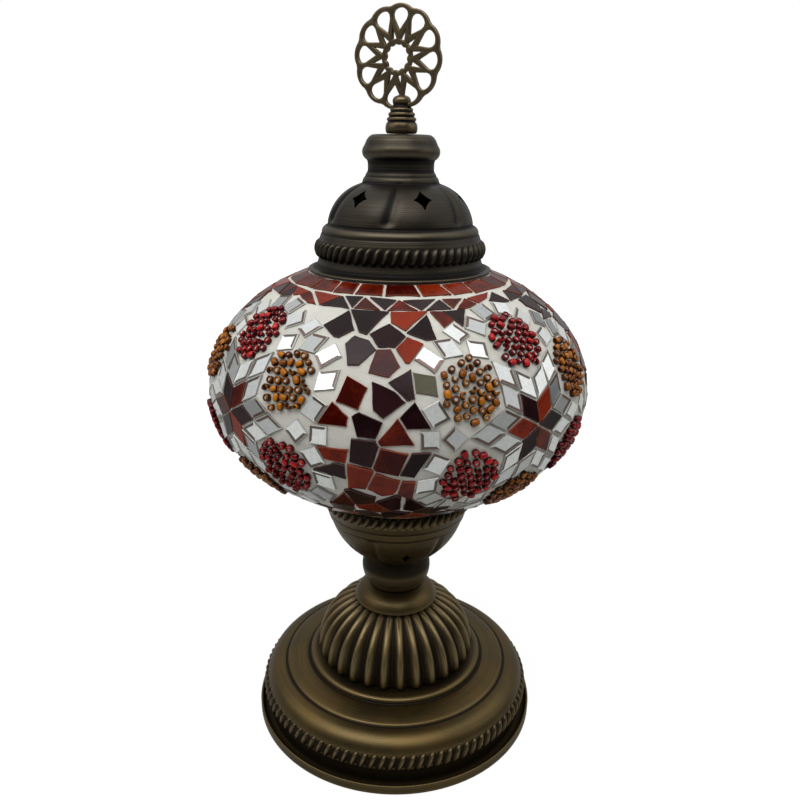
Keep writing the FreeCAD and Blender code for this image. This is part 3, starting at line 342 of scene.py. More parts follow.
def beadRecipe(tone):
    spec = beadTones[tone]

    def recipe(start):
        shade, depth, plug = (named(start, name) for name in ("shade", "depth", "plug"))
        swirl = cloud(start, objectPlace(start), beadTones["swirl"])
        # painted shade along each bead's outline as the eye sees it
        facing = start.node("ShaderNodeLayerWeight", {}, {"Blend": 0.5}, out="Facing")
        body = (shade * 0.65 + swirl * 0.4 + 0.02).between(0.1, 0.9).tint(spec["deep"], spec["clear"])
        # the depth attribute is painted light: lighter crowns, darker walls
        glass = depth.between(0.20, 0.80).tint(spec["rim"], body)
        outlined = (facing.between(0.48, 0.90) * 0.82).tint(glass, spec["rim"])
        return ({"Base Color": plug.tint(outlined, beadTones["plug"]),
                 "Roughness": 0.10 + swirl * 0.08 + plug * 0.6, "Specular IOR Level": 0.20,
                 "Coat Weight": 0.08 - plug * 0.08, "Coat Roughness": 0.04}, swirl, 0.12, 0.0002)
    return recipe


feltSheen = {"Sheen Weight": 0.4, "Sheen Roughness": 0.5}
opalCoat = {"Coat Weight": 0.5, "Coat Roughness": 0.05}
clearBody = {"Transmission Weight": 0.85, "IOR": 1.46}
finishes = {
    "footBrass": finish("footBrass", brassRecipe("foot")),
    "bellBrass": finish("bellBrass", brassRecipe("bell")),
    "cupBrass": finish("cupBrass", brassRecipe("cup")),
    "antique_brass": finish("capBrass", brassRecipe("cap")),
    "finialBrass": finish("finialBrass", brassRecipe("finial")),
    "zinc_steel": finish("zincSteel", plainMetal((0.56, 0.56, 0.54), (0.42, 0.42, 0.40), 0.34)),
    "spring_steel": finish("springSteel", plainMetal((0.36, 0.35, 0.33), (0.22, 0.21, 0.20), 0.30)),
    "contact_brass": finish("contactBrass", plainMetal((0.74, 0.54, 0.24), (0.52, 0.36, 0.15), 0.28)),
    "cast_iron": finish("castIron", plainMetal((0.045, 0.043, 0.042), (0.022, 0.021, 0.020), 0.62,
                                               0.6, 900.0)),
    "felt": finish("greenFelt", plainSkin((0.018, 0.034, 0.022), (0.010, 0.020, 0.013), 0.95, 2600.0, 0.9,
                                          **feltSheen)),
    "rubber": finish("blackRubber", plainSkin((0.018, 0.018, 0.018), (0.028, 0.028, 0.027), 0.62, 1200.0)),
    "black_moulding": finish("blackMoulding", plainSkin((0.020, 0.019, 0.019), (0.030, 0.029, 0.028),
                                                        0.34, 600.0)),
    "opal_glass": finish("opalGlass", plainSkin((0.86, 0.85, 0.81), (0.80, 0.79, 0.75), 0.22, 180.0, 0.05,
                                                **opalCoat)),
    "clear_glass": finish("clearGlass", plainSkin((0.90, 0.93, 0.91), (0.95, 0.97, 0.96), 0.08, 120.0, 0.05,
                                                  **clearBody)),
    "grout": finish("paleGrout", groutRecipe),
    "red_glass": finish("redGlass", glassRecipe("red")),
    "aubergine_glass": finish("aubergineGlass", glassRecipe("aubergine")),
    "olive_glass": finish("oliveGlass", glassRecipe("olive")),
    "silvered_glass": finish("silveredGlass", mirrorRecipe),
    "amber_beads": finish("amberBead", beadRecipe("amber")),
    "ruby_beads": finish("rubyBead", beadRecipe("ruby")),
}
print("finishes made,", len(finishes))


def makeObject(name, verts, faces, material, smooth=True, numbers=None):
    mesh = bpy.data.meshes.new(name)
    mesh.from_pydata([tuple(v) for v in np.asarray(verts, float) * mm], [], faces)
    for label, values in (numbers or {}).items():
        layer = mesh.attributes.new(label, "FLOAT", "POINT" if len(values) == len(mesh.vertices) else "FACE")
        layer.data.foreach_set("value", np.asarray(values, np.float32))
    mesh.polygons.foreach_set("use_smooth", [smooth] * len(mesh.polygons))
    mesh.materials.append(material)
    mesh.update()
    return bpy.data.objects.new(name, mesh)


def outwards(obj, weld=0.0):
    work = bmesh.new()
    work.from_mesh(obj.data)
    if weld:
        bmesh.ops.remove_doubles(work, verts=work.verts, dist=weld * mm)
    bmesh.ops.recalc_face_normals(work, faces=work.faces)
    work.to_mesh(obj.data)
    work.free()
    return obj


def sharpened(obj, angle):
    obj.data.set_sharp_from_angle(angle=math.radians(angle))
    return obj


# what an object's modifiers make, as a plain mesh under the same name
def baked(obj):
    if obj.name not in scene.collection.objects:
        scene.collection.objects.link(obj)
    seen = obj.evaluated_get(bpy.context.evaluated_depsgraph_get())
    mesh = bpy.data.meshes.new_from_object(seen)
    name = obj.name
    bpy.data.objects.remove(obj)
    return bpy.data.objects.new(name, mesh)


def place(obj, body, slot, *nodes):
    scene.collection.objects.link(obj)
    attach(obj, body)
    if nodes:
        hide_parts(*nodes)


# an outline in radius and height: a step is (r, z) for a line, (r, z, r, z) for an arc through a point
def traced(start, *steps, spacing=0.5, soften=0.0):
    line = [np.array(start, float)]
    for step in steps:
        here, there = line[-1], np.array(step[-2:], float)
        if len(step) == 2:
            line += [here + (there - here) * k / 4 for k in range(1, 5)]
        else:
            line += arcThrough(here, np.array(step[:2], float), there)
    line = np.array(line)
    run = np.concatenate([[0], np.cumsum(np.hypot(*np.diff(line, axis=0).T))])
    count = max(4, int(run[-1] / spacing))
    even = np.linspace(0, run[-1], count + 1)
    line = np.column_stack([np.interp(even, run, line[:, k]) for k in range(2)])
    return softened(line, soften / (run[-1] / count)) if soften else line


def arcThrough(a, b, c, steps=16):
    ax, ay = b - a
    bx, by = c - a
    twice = 2 * (ax * by - ay * bx)
    centre = a + np.array([by * (ax * ax + ay * ay) - ay * (bx * bx + by * by),
                           ax * (bx * bx + by * by) - bx * (ax * ax + ay * ay)]) / twice
    first, last = (math.atan2(*(p - centre)[::-1]) for p in (a, c))
    sweep = (last - first) % (math.tau if twice > 0 else -math.tau)
    radius = np.hypot(*(a - centre))
    angles = [first + sweep * k / steps for k in range(1, steps + 1)]
    return [centre + radius * np.array([math.cos(t), math.sin(t)]) for t in angles]


def softened(line, width):
    reach = int(3 * width) + 1
    weights = np.exp(-0.5 * (np.arange(-reach, reach + 1) / max(width, 0.01)) ** 2)
    weights /= weights.sum()
    head = 2 * line[0] - line[reach:0:-1]
    tail = 2 * line[-1] - line[-2:-reach - 2:-1]
    padded = np.vstack([head, line, tail])
    return np.column_stack([np.convolve(padded[:, k], weights, "valid") for k in range(2)])


# how far each point of an outline stands proud of its neighbourhood, from -1 in a crease to 1 on a ridge
def standing(line, spacing, gain, width=1.1):
    smooth = softened(line, width / spacing)
    along = np.gradient(smooth, axis=0)
    normal = np.column_stack([along[:, 1], -along[:, 0]])
    normal /= np.maximum(np.hypot(*normal.T), 1e-9)[:, None]
    return np.clip(((line - smooth) * normal).sum(1) * gain, -1, 1)


# faces between rows of points, with the last row joined to the first; a closed row meets its own start
def tubeFaces(rows, columns, closed=False):
    faces = []
    for i in range(rows):
        a, b = i * columns, ((i + 1) % rows) * columns
        for j in range(columns if closed else columns - 1):
            k = (j + 1) % columns
            faces.append((a + j, a + k, b + k, b + j))
    return faces


# a closed solid turned from its skin, from the foot up, and its lining, from the top down;
# shape moves the skin's points and says how much brighter or darker they are
def spun(name, spec, shape=None):
    skin, lining, columns = spec["skin"], spec["lining"], spec["columns"]
    line = np.vstack([skin, lining])
    spacing = float(np.mean(np.hypot(*np.diff(skin, axis=0).T)))
    # creases come out darker and ridges brighter: patina and wear, with painted shade and a painted highlight
    relief = np.concatenate([standing(skin, spacing, spec.get("gain", 5.0)), np.full(len(lining), -0.5)])
    angle = np.arange(columns) * math.tau / columns
    radius, height, worn = (np.repeat(values[:, None], columns, 1) for values in (*line.T, relief))
    if shape:
        top = len(skin)
        radius[:top], height[:top], more = shape(radius[:top], height[:top], angle[None, :])
        worn[:top] = np.clip(worn[:top] + more, -1, 1)
    verts = np.stack([radius * np.cos(angle), radius * np.sin(angle), height], 2).reshape(-1, 3)
    made = makeObject(name, verts, tubeFaces(len(line), columns, closed=True), finishes[spec["finish"]], True,
                      {"relief": worn.ravel()})
    return sharpened(outwards(made, 0.002), 50)


# a Geometry Nodes tree; what it is given comes back as signals by name
def newTree(name, inputs):
    tree = bpy.data.node_groups.new(name, "GeometryNodeTree")
    for label, kind in {"Geometry": "Geometry", **inputs}.items():
        tree.interface.new_socket(label, in_out="INPUT", socket_type="NodeSocket" + kind)
    tree.interface.new_socket("Geometry", in_out="OUTPUT", socket_type="NodeSocketGeometry")
    given = tree.nodes.new("NodeGroupInput")
    return tree, {s.name: Signal(tree, s) for s in given.outputs if s.name}


def useTree(obj, tree, values):
    modifier = obj.modifiers.new(tree.name, "NODES")
    modifier.node_group = tree
    for item in tree.interface.items_tree:
        if item.item_type == "SOCKET" and item.in_out == "INPUT" and item.name in values:
            modifier[item.identifier] = values[item.name]


# copies of a sector round the lamp's axis, welded into one skin
def ringTree():
    tree, given = newTree("ringOfSectors", {"Count": "Int", "First Angle": "Float", "Weld": "Float",
                                            "Finish": "Material"})
    add = Signal(tree).node
    points = add("GeometryNodePoints", {}, {"Count": given["Count"]})
    turn = given["First Angle"] + add("GeometryNodeInputIndex") * math.tau / given["Count"]
    lean = add("ShaderNodeCombineXYZ", {}, {"Z": turn})
    copies = add("GeometryNodeInstanceOnPoints", {}, {"Points": points, "Instance": given["Geometry"],
                                                      "Rotation": lean})
    real = add("GeometryNodeRealizeInstances", {}, {"Geometry": copies})
    welded = add("GeometryNodeMergeByDistance", {}, {"Geometry": real, "Distance": given["Weld"]})
    coated = add("GeometryNodeSetMaterial", {}, {"Geometry": welded, "Material": given["Finish"]})
    add("NodeGroupOutput", {}, {"Geometry": coated})
    return tree


ringOfSectors = ringTree()


def ringed(sector, count, first, weld=0.01):
    useTree(sector, ringOfSectors, {"Count": count, "First Angle": math.radians(first), "Weld": weld * mm,
                                    "Finish": sector.data.materials[0]})
    return sharpened(outwards(baked(sector)), 60)


# rows of (radius, height, relief) lists with their angles, as one sector of a ring
def sectorOf(name, spec, rows, columns):
    table = np.array(rows)
    radius, angle, height, relief = table.T
    verts = np.column_stack([radius * np.cos(angle), radius * np.sin(angle), height])
    sector = makeObject(name, verts, tubeFaces(len(rows) // columns, columns), finishes[spec["finish"]], True,
                        {"relief": relief})
    return ringed(sector, spec["count"], spec["first"])


# how a strand sinks in and darkens at its ends, and how wide and how sharp its painted highlight is; flatness
# is the share of its lift that goes up and down
ropeStrand = {"points": 9, "fadeIn": 5.0, "fadeCurve": 0.55, "giltWidth": 0.38, "flatness": 0.4, "sheen": 1.4}


# a twisted rope bead: slanted strands that stand on a rounded band; painted light makes them brightest at a
# given share of the way up, with painted shade between them, at their ends and on the band
def ropeBead(name, spec):
    pitch = math.tau / spec["count"]
    across = along = ropeStrand["points"]
    rows = []
    for i in range(along):
        u = i / (along - 1)
        turn = math.radians(spec["wrap"]) * (1 - 2 * u)
        fade = min(1.0, ropeStrand["fadeIn"] * min(u, 1 - u)) ** ropeStrand["fadeCurve"]
        gilt = math.exp(-((u - spec["gilt"]) / ropeStrand["giltWidth"]) ** 2)
        for j in range(across):
            v = j / (across - 1)
            crown = math.sin(math.pi * v) ** spec["sharpness"]
            lift = spec["depth"] * crown * fade
            rows.append((spec["radius"] + (spec["bulge"] + lift) * math.cos(turn),
                         pitch * (v - 0.5 + spec["lean"] * (0.5 - u)),
                         spec["middle"] + (spec["half"] + lift * ropeStrand["flatness"]) * math.sin(turn),
                         -1.0 + 2.0 * crown ** ropeStrand["sheen"] * fade * gilt))
    reach = spec["half"] * math.sin(math.radians(spec["wrap"]))
    for side in (-1, 1):
        for j in range(across):
            rows.append((spec["lining"], pitch * (j / (across - 1) - 0.5 + spec["lean"] * side / 2),
                         spec["middle"] + reach * side, -1.0))
    return sectorOf(name, spec, rows, across)


# two rings of points joined into a closed solid that cuts an opening
def cutter(name, near, far):
    count = len(near)
    faces = [(k, (k + 1) % count, count + (k + 1) % count, count + k) for k in range(count)]
    faces += [tuple(range(count))[::-1], tuple(range(count, 2 * count))]
    return makeObject(name, near + far, faces, finishes["antique_brass"], False)


def pierced(obj, tool):
    scene.collection.objects.link(tool)
    scene.collection.objects.link(obj)
    cut = obj.modifiers.new("opening", "BOOLEAN")
    cut.operation, cut.solver, cut.object = "DIFFERENCE", "EXACT", tool
    made = baked(obj)
    bpy.data.objects.remove(tool)
    return sharpened(made, 50)


def smoothStep(values):
    share = np.clip(values, 0, 1)
    return share * share * (3 - 2 * share)


panSpec = {
    "finish": "footBrass", "columns": 288, "innerRim": 71.0,
    "skin": traced((28.0, 1.6), (68.5, 1.55), (70.3, 0.5), (71.2, 0.32), (71.7, 0.45), (72.0, 1.0),
                   (72.0, 4.5), (71.8, 5.15, 71.2, 5.2), (70.6, 4.9), (70.5, 3.2), spacing=0.4, soften=0.16),
    "lining": traced((69.9, 2.5), (24.6, 2.5), (20.6, 10.4), (5.15, 10.4), (5.15, 9.6), (20.0, 9.5),
                     (23.9, 1.6), spacing=2.0),
}


# painted shade: black inside the pan's rim
def panPaintedShade(radius, height, angle):
    return radius, height, -0.95 * np.clip((panSpec["innerRim"] - radius) / 0.6, 0, 1)


place(spun("basePan", panSpec, panPaintedShade), "stand", "antique_brass", "base_pan")

footSpec = {
    "finish": "footBrass", "columns": 288, "ropeFoot": 11.6, "bellFloor": 30.0, "bellSide": 44.6,
    "skin": traced((66.9, 2.55), (67.2, 2.9), (67.2, 9.6), (67.5, 10.6), (67.6, 11.2), (67.6, 19.4),
                   (67.3, 19.75), (64.5, 23.8, 57.45, 25.75), (57.15, 26.0), (56.95, 26.6),
                   (51.0, 28.15, 45.35, 28.25), (45.1, 28.5), (45.0, 29.3), (44.5, 30.3), (43.4, 30.85),
                   (41.0, 31.0), (33.0, 31.0), spacing=0.45, soften=0.28),
    "lining": traced((33.0, 29.9), (43.3, 28.6), (55.4, 24.7), (63.0, 21.0), (66.0, 11.0), (66.0, 2.5),
                     spacing=2.0),
    "inlet": {"radius": 3.65, "height": 6.8, "near": 62.0, "far": 71.0, "sides": 48},
}


# painted shade: black below the rope and darker close round the bell; faintly uneven elsewhere
def footShadeAndMottle(radius, height, angle):
    below = np.clip((footSpec["ropeFoot"] - height) / 1.2, 0, 1)
    beside = np.clip((footSpec["bellSide"] - radius) / 3.2, 0, 1) * (height > footSpec["bellFloor"])
    uneven = 0.10 * np.sin(angle * 5.0 + height * 0.7) * (1 - below)
    return radius, height, -0.95 * below - 0.62 * beside + uneven


# a drill for the lead's way in, which the rubber grommet lines
def inletCutter(spec):
    turns = [math.tau * k / spec["sides"] for k in range(spec["sides"])]
    rings = [[(spec["radius"] * math.cos(t), y, spec["height"] + spec["radius"] * math.sin(t)) for t in turns]
             for y in (spec["near"], spec["far"])]
    return outwards(cutter("inletCutter", *rings))


place(pierced(spun("steppedFoot", footSpec, footShadeAndMottle), inletCutter(footSpec["inlet"])),
      "stand", "antique_brass", "stepped_foot")

footRope = {
    "finish": "bellBrass", "count": 95, "first": 0.0, "radius": 66.5, "bulge": 1.35, "half": 4.2,
    "middle": 14.7, "wrap": 82.0, "depth": 1.9, "sharpness": 2.4, "lean": 0.95, "lining": 66.6, "gilt": 0.42,
}
place(ropeBead("footRope", footRope), "stand", "antique_brass")
print("foot made")

bellSpec = {
    "finish": "bellBrass", "count": 30, "first": -86.0, "foot": 31.0, "top": 61.4, "radius": 40.7,
    "topRadius": 20.6, "straight": 2.0, "flare": 0.25, "depth": 3.3, "crest": 0.92, "wall": 2.0,
    "across": 17, "along": 30, "crowding": 1.35, "footRound": 4.6,
    "depthShare": (0.42, 0.58), "toeShare": (0.12, 0.88),      # at least, and what the radius or the toe adds
    # patina with painted shade in the valleys and a painted highlight on the crests
    "patina": {"valley": -0.95, "gain": 2.05, "curve": 0.95, "most": 0.92},
}


# the ridges stand on a short straight, then on one arc up to the collar
def bellRadius(height, spec):
    rise = spec["top"] - spec["foot"] - spec["straight"]
    run = spec["radius"] - spec["topRadius"]
    big = (run * run + rise * rise) / (2 * run)
    above = max(height - spec["straight"], 0.0)
    return (spec["radius"] - big + math.sqrt(big * big - above * above)
            - spec["flare"] * max(spec["straight"] - height, 0.0))


def flutedBell(spec):
    tall = spec["top"] - spec["foot"]
    shares = [2 * j / (spec["across"] - 1) - 1 for j in range(spec["across"])]
    pitch = math.tau / spec["count"]
    (depthLeast, depthMore), (toeLeast, toeMore) = spec["depthShare"], spec["toeShare"]
    worn = spec["patina"]
    rows = []
    for i in range(spec["along"]):
        height = (i / (spec["along"] - 1)) ** spec["crowding"] * tall
        ridge = bellRadius(height, spec)
        depth = spec["depth"] * (depthLeast + depthMore * ridge / spec["radius"])
        low = max(0.0, 1 - height / spec["footRound"])
        toe = math.sqrt(1 - low * low)
        for v in shares:
            out = (0.5 + 0.5 * math.cos(math.pi * v)) ** spec["crest"] * (toeLeast + toeMore * toe)
            rows.append((ridge - depth * (1 - out), pitch * v / 2, spec["foot"] + height,
                         min(worn["most"], worn["valley"] + worn["gain"] * out ** worn["curve"])))
    for share in (1.0, 0.6, 0.3, 0.0):
        radius = bellRadius(share * tall, spec) - spec["wall"] - spec["depth"]
        rows += [(radius, pitch * v / 2, spec["foot"] + share * tall, -1.0) for v in shares]
    return sectorOf("flutedBell", spec, rows, spec["across"])


place(flutedBell(bellSpec), "stand", "antique_brass", "fluted_bell")

collarSpec = {
    "finish": "footBrass", "columns": 160,
    "skin": traced((20.4, 61.4), (21.1, 61.55), (21.2, 62.0), (21.0, 62.6), (18.9, 66.3, 14.6, 68.9),
                   (13.6, 69.3), (12.9, 69.6), (12.35, 70.0), (12.35, 72.0), spacing=0.3, soften=0.12),
    "lining": traced((5.1, 72.0), (5.1, 61.45), spacing=4.0),
}
place(spun("bellCollar", collarSpec), "stand", "antique_brass", "bell_collar")

ballSpec = {
    "finish": "cupBrass", "columns": 160, "gain": 2.0, "bright": 0.95, "fall": 1.65, "from": 74.0,
    "over": 8.0,
    "skin": traced((12.7, 69.75), (13.3, 70.0), (17.3, 79.0, 15.2, 87.1), (14.9, 87.38), spacing=0.3,
                   soften=0.12),
    "lining": traced((5.1, 87.38), (5.1, 72.02), (12.5, 72.02), spacing=4.0),
}


# painted light below and painted shade above, under the cup
def ballLightAndShade(radius, height, angle):
    climb = smoothStep((height - ballSpec["from"]) / ballSpec["over"])
    return radius, height, ballSpec["bright"] - ballSpec["fall"] * climb


place(spun("neckBall", ballSpec, ballLightAndShade), "stand", "antique_brass", "neck_ball")
print("bell and neck made")


# diamonds with hollow sides, cut through a sloping wall all round
def ventCutter(spec):
    wide, tall = spec["width"] / 2, spec["length"] / 2
    tips = [(wide, 0), (0, tall), (-wide, 0), (0, -tall)]
    ring = []
    for k in range(4):
        a, b = np.array(tips[k]), np.array(tips[(k + 1) % 4])
        pull = 2 * (a + b) * spec["waist"] - (a + b) / 2
        ring += [(1 - t) ** 2 * a + 2 * t * (1 - t) * pull + t * t * b for t in np.arange(6) / 6]
    tilt, centre = turned("Y", -spec["tilt"]), Vector((spec["radius"], 0, spec["height"]))
    rings = [[tilt @ Vector((depth, y, z)) + centre for y, z in ring] for depth in (-4.0, 4.0)]
    return ringed(cutter("ventCutter", *rings), spec["count"], spec["first"])


# pressed grooves that run up a wall; painted light makes one flank lighter and painted shade the other darker
# and the groove a little darker, and the grooved band gets painted light or shade as a whole
def pressed(spec):
    def shape(radius, height, angle):
        step = math.tau / spec["count"]
        low, high = spec["low"], spec["high"]
        lean = math.radians(spec["lean"]) * (height - (low + high) / 2)
        off = (angle - math.radians(spec["first"]) - lean + step / 2) % step - step / 2
        far = off * spec["mean"] / spec["width"]
        fade = spec["fade"]
        run = smoothStep(np.clip((height - low) / fade, 0, 1) * np.clip((high - height) / fade, 0, 1))
        dip = np.exp(-far ** 2) * run
        patina = (spec["rubbed"] * far - 0.18) * dip + spec["patina"] * run
        return radius - spec["depth"] * dip, height, patina
    return shape


cupSpec = {
    "finish": "cupBrass", "columns": 240,
    "skin": traced((15.6, 87.42), (16.1, 87.5), (27.4, 97.3, 33.1, 109.1), (33.35, 109.5), (33.75, 109.9),
                   (34.75, 113.2), (34.55, 113.5), (34.95, 113.9), (35.25, 114.5), (36.1, 116.6),
                   (36.4, 117.2), (36.3, 123.3), (37.3, 123.75), (37.4, 124.6), (37.0, 124.8),
                   (33.0, 124.8), spacing=0.4, soften=0.16),
    "lining": traced((33.0, 123.8), (35.7, 123.6), (35.5, 117.0), (32.2, 109.4), (26.6, 98.1), (15.5, 88.4),
                     (5.1, 88.4), (5.1, 87.45), spacing=1.5),
    "groove": {"count": 6, "first": -110.0, "mean": 30.0, "width": 1.6, "depth": 0.9, "low": 92.0,
               "high": 109.6, "fade": 2.2, "lean": 0.0, "rubbed": 0.6, "patina": 0.15},
    "vent": {"count": 6, "first": -80.0, "width": 5.6, "length": 8.0, "radius": 27.4, "height": 97.3,
             "tilt": -44, "waist": 0.40},
}
place(pierced(spun("galleryCup", cupSpec, pressed(cupSpec["groove"])), ventCutter(cupSpec["vent"])),
      "stand", "antique_brass", "gallery_cup")

cupRope = {
    "finish": "cupBrass", "count": 58, "first": 0.0, "radius": 35.0, "bulge": 1.5, "half": 3.2,
    "middle": 120.3, "wrap": 80.0, "depth": 1.6, "sharpness": 1.8, "lean": 0.95, "lining": 35.6, "gilt": 0.66,
}
place(ropeBead("cupRope", cupRope), "stand", "antique_brass")
print("cup made")

capFoot = 230.83


# outline points whose heights are given above the cap's foot
def risen(*points):
    return [tuple(value + (capFoot if k % 2 else 0) for k, value in enumerate(point)) for point in points]


capSpec = {
    "finish": "antique_brass", "columns": 240,
    "skin": traced(*risen((39.8, 0.35), (40.8, 0.05), (41.1, 0.35), (41.1, 0.8), (40.6, 1.1), (38.4, 1.5),
                          (37.4, 2.1), (36.75, 4.0), (36.4, 5.2), (36.2, 6.2), (36.3, 9.4), (36.2, 12.6),
                          (36.1, 13.5), (35.9, 13.9), (35.3, 15.6), (34.9, 16.1), (34.5, 18.1, 32.7, 19.5),
                          (32.15, 20.0), (32.2, 21.0), (28.0, 30.2, 18.4, 36.9), (17.2, 37.3), (16.9, 37.6),
                          (16.7, 38.6), (16.2, 39.7), (15.6, 40.1), (15.5, 40.5), (15.4, 41.2), (14.8, 41.7),
                          (14.5, 42.5), (14.4, 44.0), (14.5, 46.0), (14.8, 46.9), (15.7, 47.5),
                          (16.9, 50.0, 15.9, 52.9), (15.0, 55.1), (13.8, 56.6), (12.5, 57.3), (11.2, 57.4),
                          (3.1, 57.4)), spacing=0.4, soften=0.2),
    "lining": traced(*risen((3.1, 56.4), (12.1, 56.4), (14.9, 52.6), (15.7, 50.2), (13.5, 46.2), (13.5, 42.6),
                            (15.7, 38.0), (18.1, 36.3), (27.4, 29.4, 30.9, 21.0), (33.7, 14.6), (35.4, 12.0),
                            (35.4, 3.6), (36.6, 2.0), (38.5, 1.2)), spacing=1.6),
    "groove": {"count": 6, "first": -96.5, "mean": 27.0, "width": 2.1, "depth": 1.15, "low": capFoot + 19.8,
               "high": capFoot + 38.5, "fade": 3.4, "lean": 0.42, "rubbed": 1.1, "patina": -0.36},
    "vent": {"count": 6, "first": -70.0, "width": 8.3, "length": 10.6, "radius": 27.0,
             "height": capFoot + 32.2, "tilt": 43, "waist": 0.40},
}
place(pierced(spun("capShell", capSpec, pressed(capSpec["groove"])), ventCutter(capSpec["vent"])),
      "cap", "antique_brass", "cap_shell")

capRope = {
    "finish": "antique_brass", "count": 58, "first": 0.0, "radius": 35.2, "bulge": 1.5, "half": 3.7,
    "middle": capFoot + 9.4, "wrap": 84.0, "depth": 1.7, "sharpness": 1.9, "lean": 0.95, "lining": 35.4,
    "gilt": 0.34,
}
place(ropeBead("capRope", capRope), "cap", "antique_brass")
print("cap made")

knobSpec = {
    "finish": "finialBrass", "columns": 96, "gain": 7.0,
    "skin": traced((6.0, 288.55), (6.5, 288.8), (6.9, 290.7, 6.45, 292.8), (5.85, 293.35), (5.95, 293.6),
                   (6.35, 294.3, 5.75, 295.1), (5.25, 295.5), (5.75, 296.3, 5.1, 297.05), (4.65, 297.4),
                   (4.95, 298.1, 4.3, 298.9), (3.75, 299.6), (3.6, 300.3), (3.9, 301.9, 2.6, 303.5),
                   (1.4, 304.0), (0.0, 304.13), spacing=0.2, soften=0.14)[:-1],
    # bored for the stud
    "lining": np.array([(0.02, 304.13), (0.02, 296.93), (3.05, 296.93), (3.05, 288.55)]),
}
place(spun("finialKnob", knobSpec), "finial", "antique_brass", "finial_knob")

# points of an opening are (share of the radius, share of a petal's step off its middle)
rosetteSpec = {
    "finish": "finialBrass", "radius": 20.35, "thickness": 2.2, "round": 0.5, "petals": 12, "middle": 318.53,
    "turn": -27.0, "lean": -4.0, "spin": -10.0, "shift": -0.6,
    "rim": (0.945, 1.0), "eye": (0.275, 0.235),
    "apex": (0.50, 0.0), "sides": ((0.74, 0.39), (0.81, 0.395), (0.865, 0.33)), "crown": (0.918, 0.0),
    "cross": ((0.56, 0.5), (0.35, 0.74), (0.35, 0.26)),
    "edge": 0.5, "proud": 0.6,
}


def rosetteSplines(spec):
    step = math.tau / spec["petals"]

    def point(petal, share, aside, side=1):
        angle = (petal + aside * side) * step
        return np.array([math.cos(angle), math.sin(angle)]) * share * spec["radius"]

    def ring(valley, peak):
        line = []
        for k in range(spec["petals"]):
            line += arcThrough(point(k, valley, -0.5), point(k, peak, 0), point(k, valley, 0.5))[::2]
        return line
    outlines = [ring(*spec["rim"]), ring(*spec["eye"])]
    for k in range(spec["petals"]):
        one, other = ([point(k, *spot, side) for spot in spec["sides"]] for side in (1, -1))
        crown = arcThrough(one[-1], point(k, *spec["crown"]), other[-1])[1::2]
        outlines.append([point(k, *spec["apex"]), *one, *crown, *other[-2::-1]])
        outlines.append([point(k, *spot) for spot in spec["cross"]])
    return outlines


def finialRosette(spec):
    curve = bpy.data.curves.new("finialRosette", "CURVE")
    curve.dimensions, curve.fill_mode = "2D", "BOTH"
    curve.extrude = (spec["thickness"] / 2 - spec["round"]) * mm
    curve.bevel_depth, curve.bevel_resolution, curve.offset = spec["round"] * mm, 3, -spec["round"] * mm
    for outline in rosetteSplines(spec):
        spline = curve.splines.new("POLY")
        spline.points.add(len(outline) - 1)
        for target, (x, y) in zip(spline.points, outline):
            target.co = (x * mm, y * mm, 0, 1)
        spline.use_cyclic_u = True
    made = baked(bpy.data.objects.new("finialRosette", curve))
    foot = Vector((spec["shift"], 0, spec["middle"] - spec["radius"])) * mm
    mesh = made.data
    mesh.transform(Matrix.Translation(foot) @ turned("Y", spec["lean"])
                   @ Matrix.Translation((0, 0, spec["radius"] * mm))
                   @ turned("Z", spec["turn"]) @ turned("X", 90) @ turned("Z", spec["spin"]))
    mesh.materials.clear()
    mesh.materials.append(finishes[spec["finish"]])
    outwards(made, 0.001)
    mesh.polygons.foreach_set("use_smooth", [True] * len(mesh.polygons))
    axis = Vector((math.sin(math.radians(spec["turn"])), -math.cos(math.radians(spec["turn"])), 0))
    depths = np.array([abs(vertex.co.dot(axis)) / mm for vertex in mesh.vertices])
    layer = mesh.attributes.new("relief", "FLOAT", "POINT")
    layer.data.foreach_set("value", -0.1 + 0.8 * np.clip(depths - spec["edge"], 0, None) / spec["proud"])
    return sharpened(made, 40)


place(finialRosette(rosetteSpec), "finial", "antique_brass", "finial_rosette")
print("finial made")

globeSpec = {
    "finish": "grout", "columns": 360, "rows": 150, "liningRows": 40, "middle": 179.01,
    "bedWide": 85.2, "bedTall": 56.3, "groutWide": 86.7, "groutTall": 57.8, "under": 1.2,
    "footMouth": 34.0, "topMouth": 37.8, "unevenness": 0.11,
}


def groutSkin(spec):
    low = math.asin(-math.sqrt(1 - (spec["footMouth"] / spec["groutWide"]) ** 2))
    high = math.asin(math.sqrt(1 - (spec["topMouth"] / spec["groutWide"]) ** 2))

    def arc(wide, tall, first, last, count):
        turns = np.linspace(first, last, count)
        return np.column_stack([wide * np.cos(turns), spec["middle"] + tall * np.sin(turns)])

    def uneven(radius, height, angle):
        wave = (np.sin(angle * 37 + height * 0.9) * np.sin(height * 0.61 + np.cos(angle * 11) * 2.0)
                + 0.6 * np.sin(angle * 83 + np.sin(height * 0.7) * 3.0) * np.cos(height * 1.3))
        return radius + spec["unevenness"] * wave, height, 0 * radius
    skin = arc(spec["groutWide"], spec["groutTall"], low, high, spec["rows"])
    wide, tall = spec["bedWide"] - spec["under"], spec["bedTall"] - spec["under"]
    lining = arc(wide, tall, high, low, spec["liningRows"])
    lining[0, 0], lining[-1, 0] = spec["topMouth"], spec["footMouth"]
    return spun("groutSkin", {**spec, "skin": skin, "lining": lining}, uneven)


place(groutSkin(globeSpec), "stand", "grout", "grout_bed")
print("grout made")


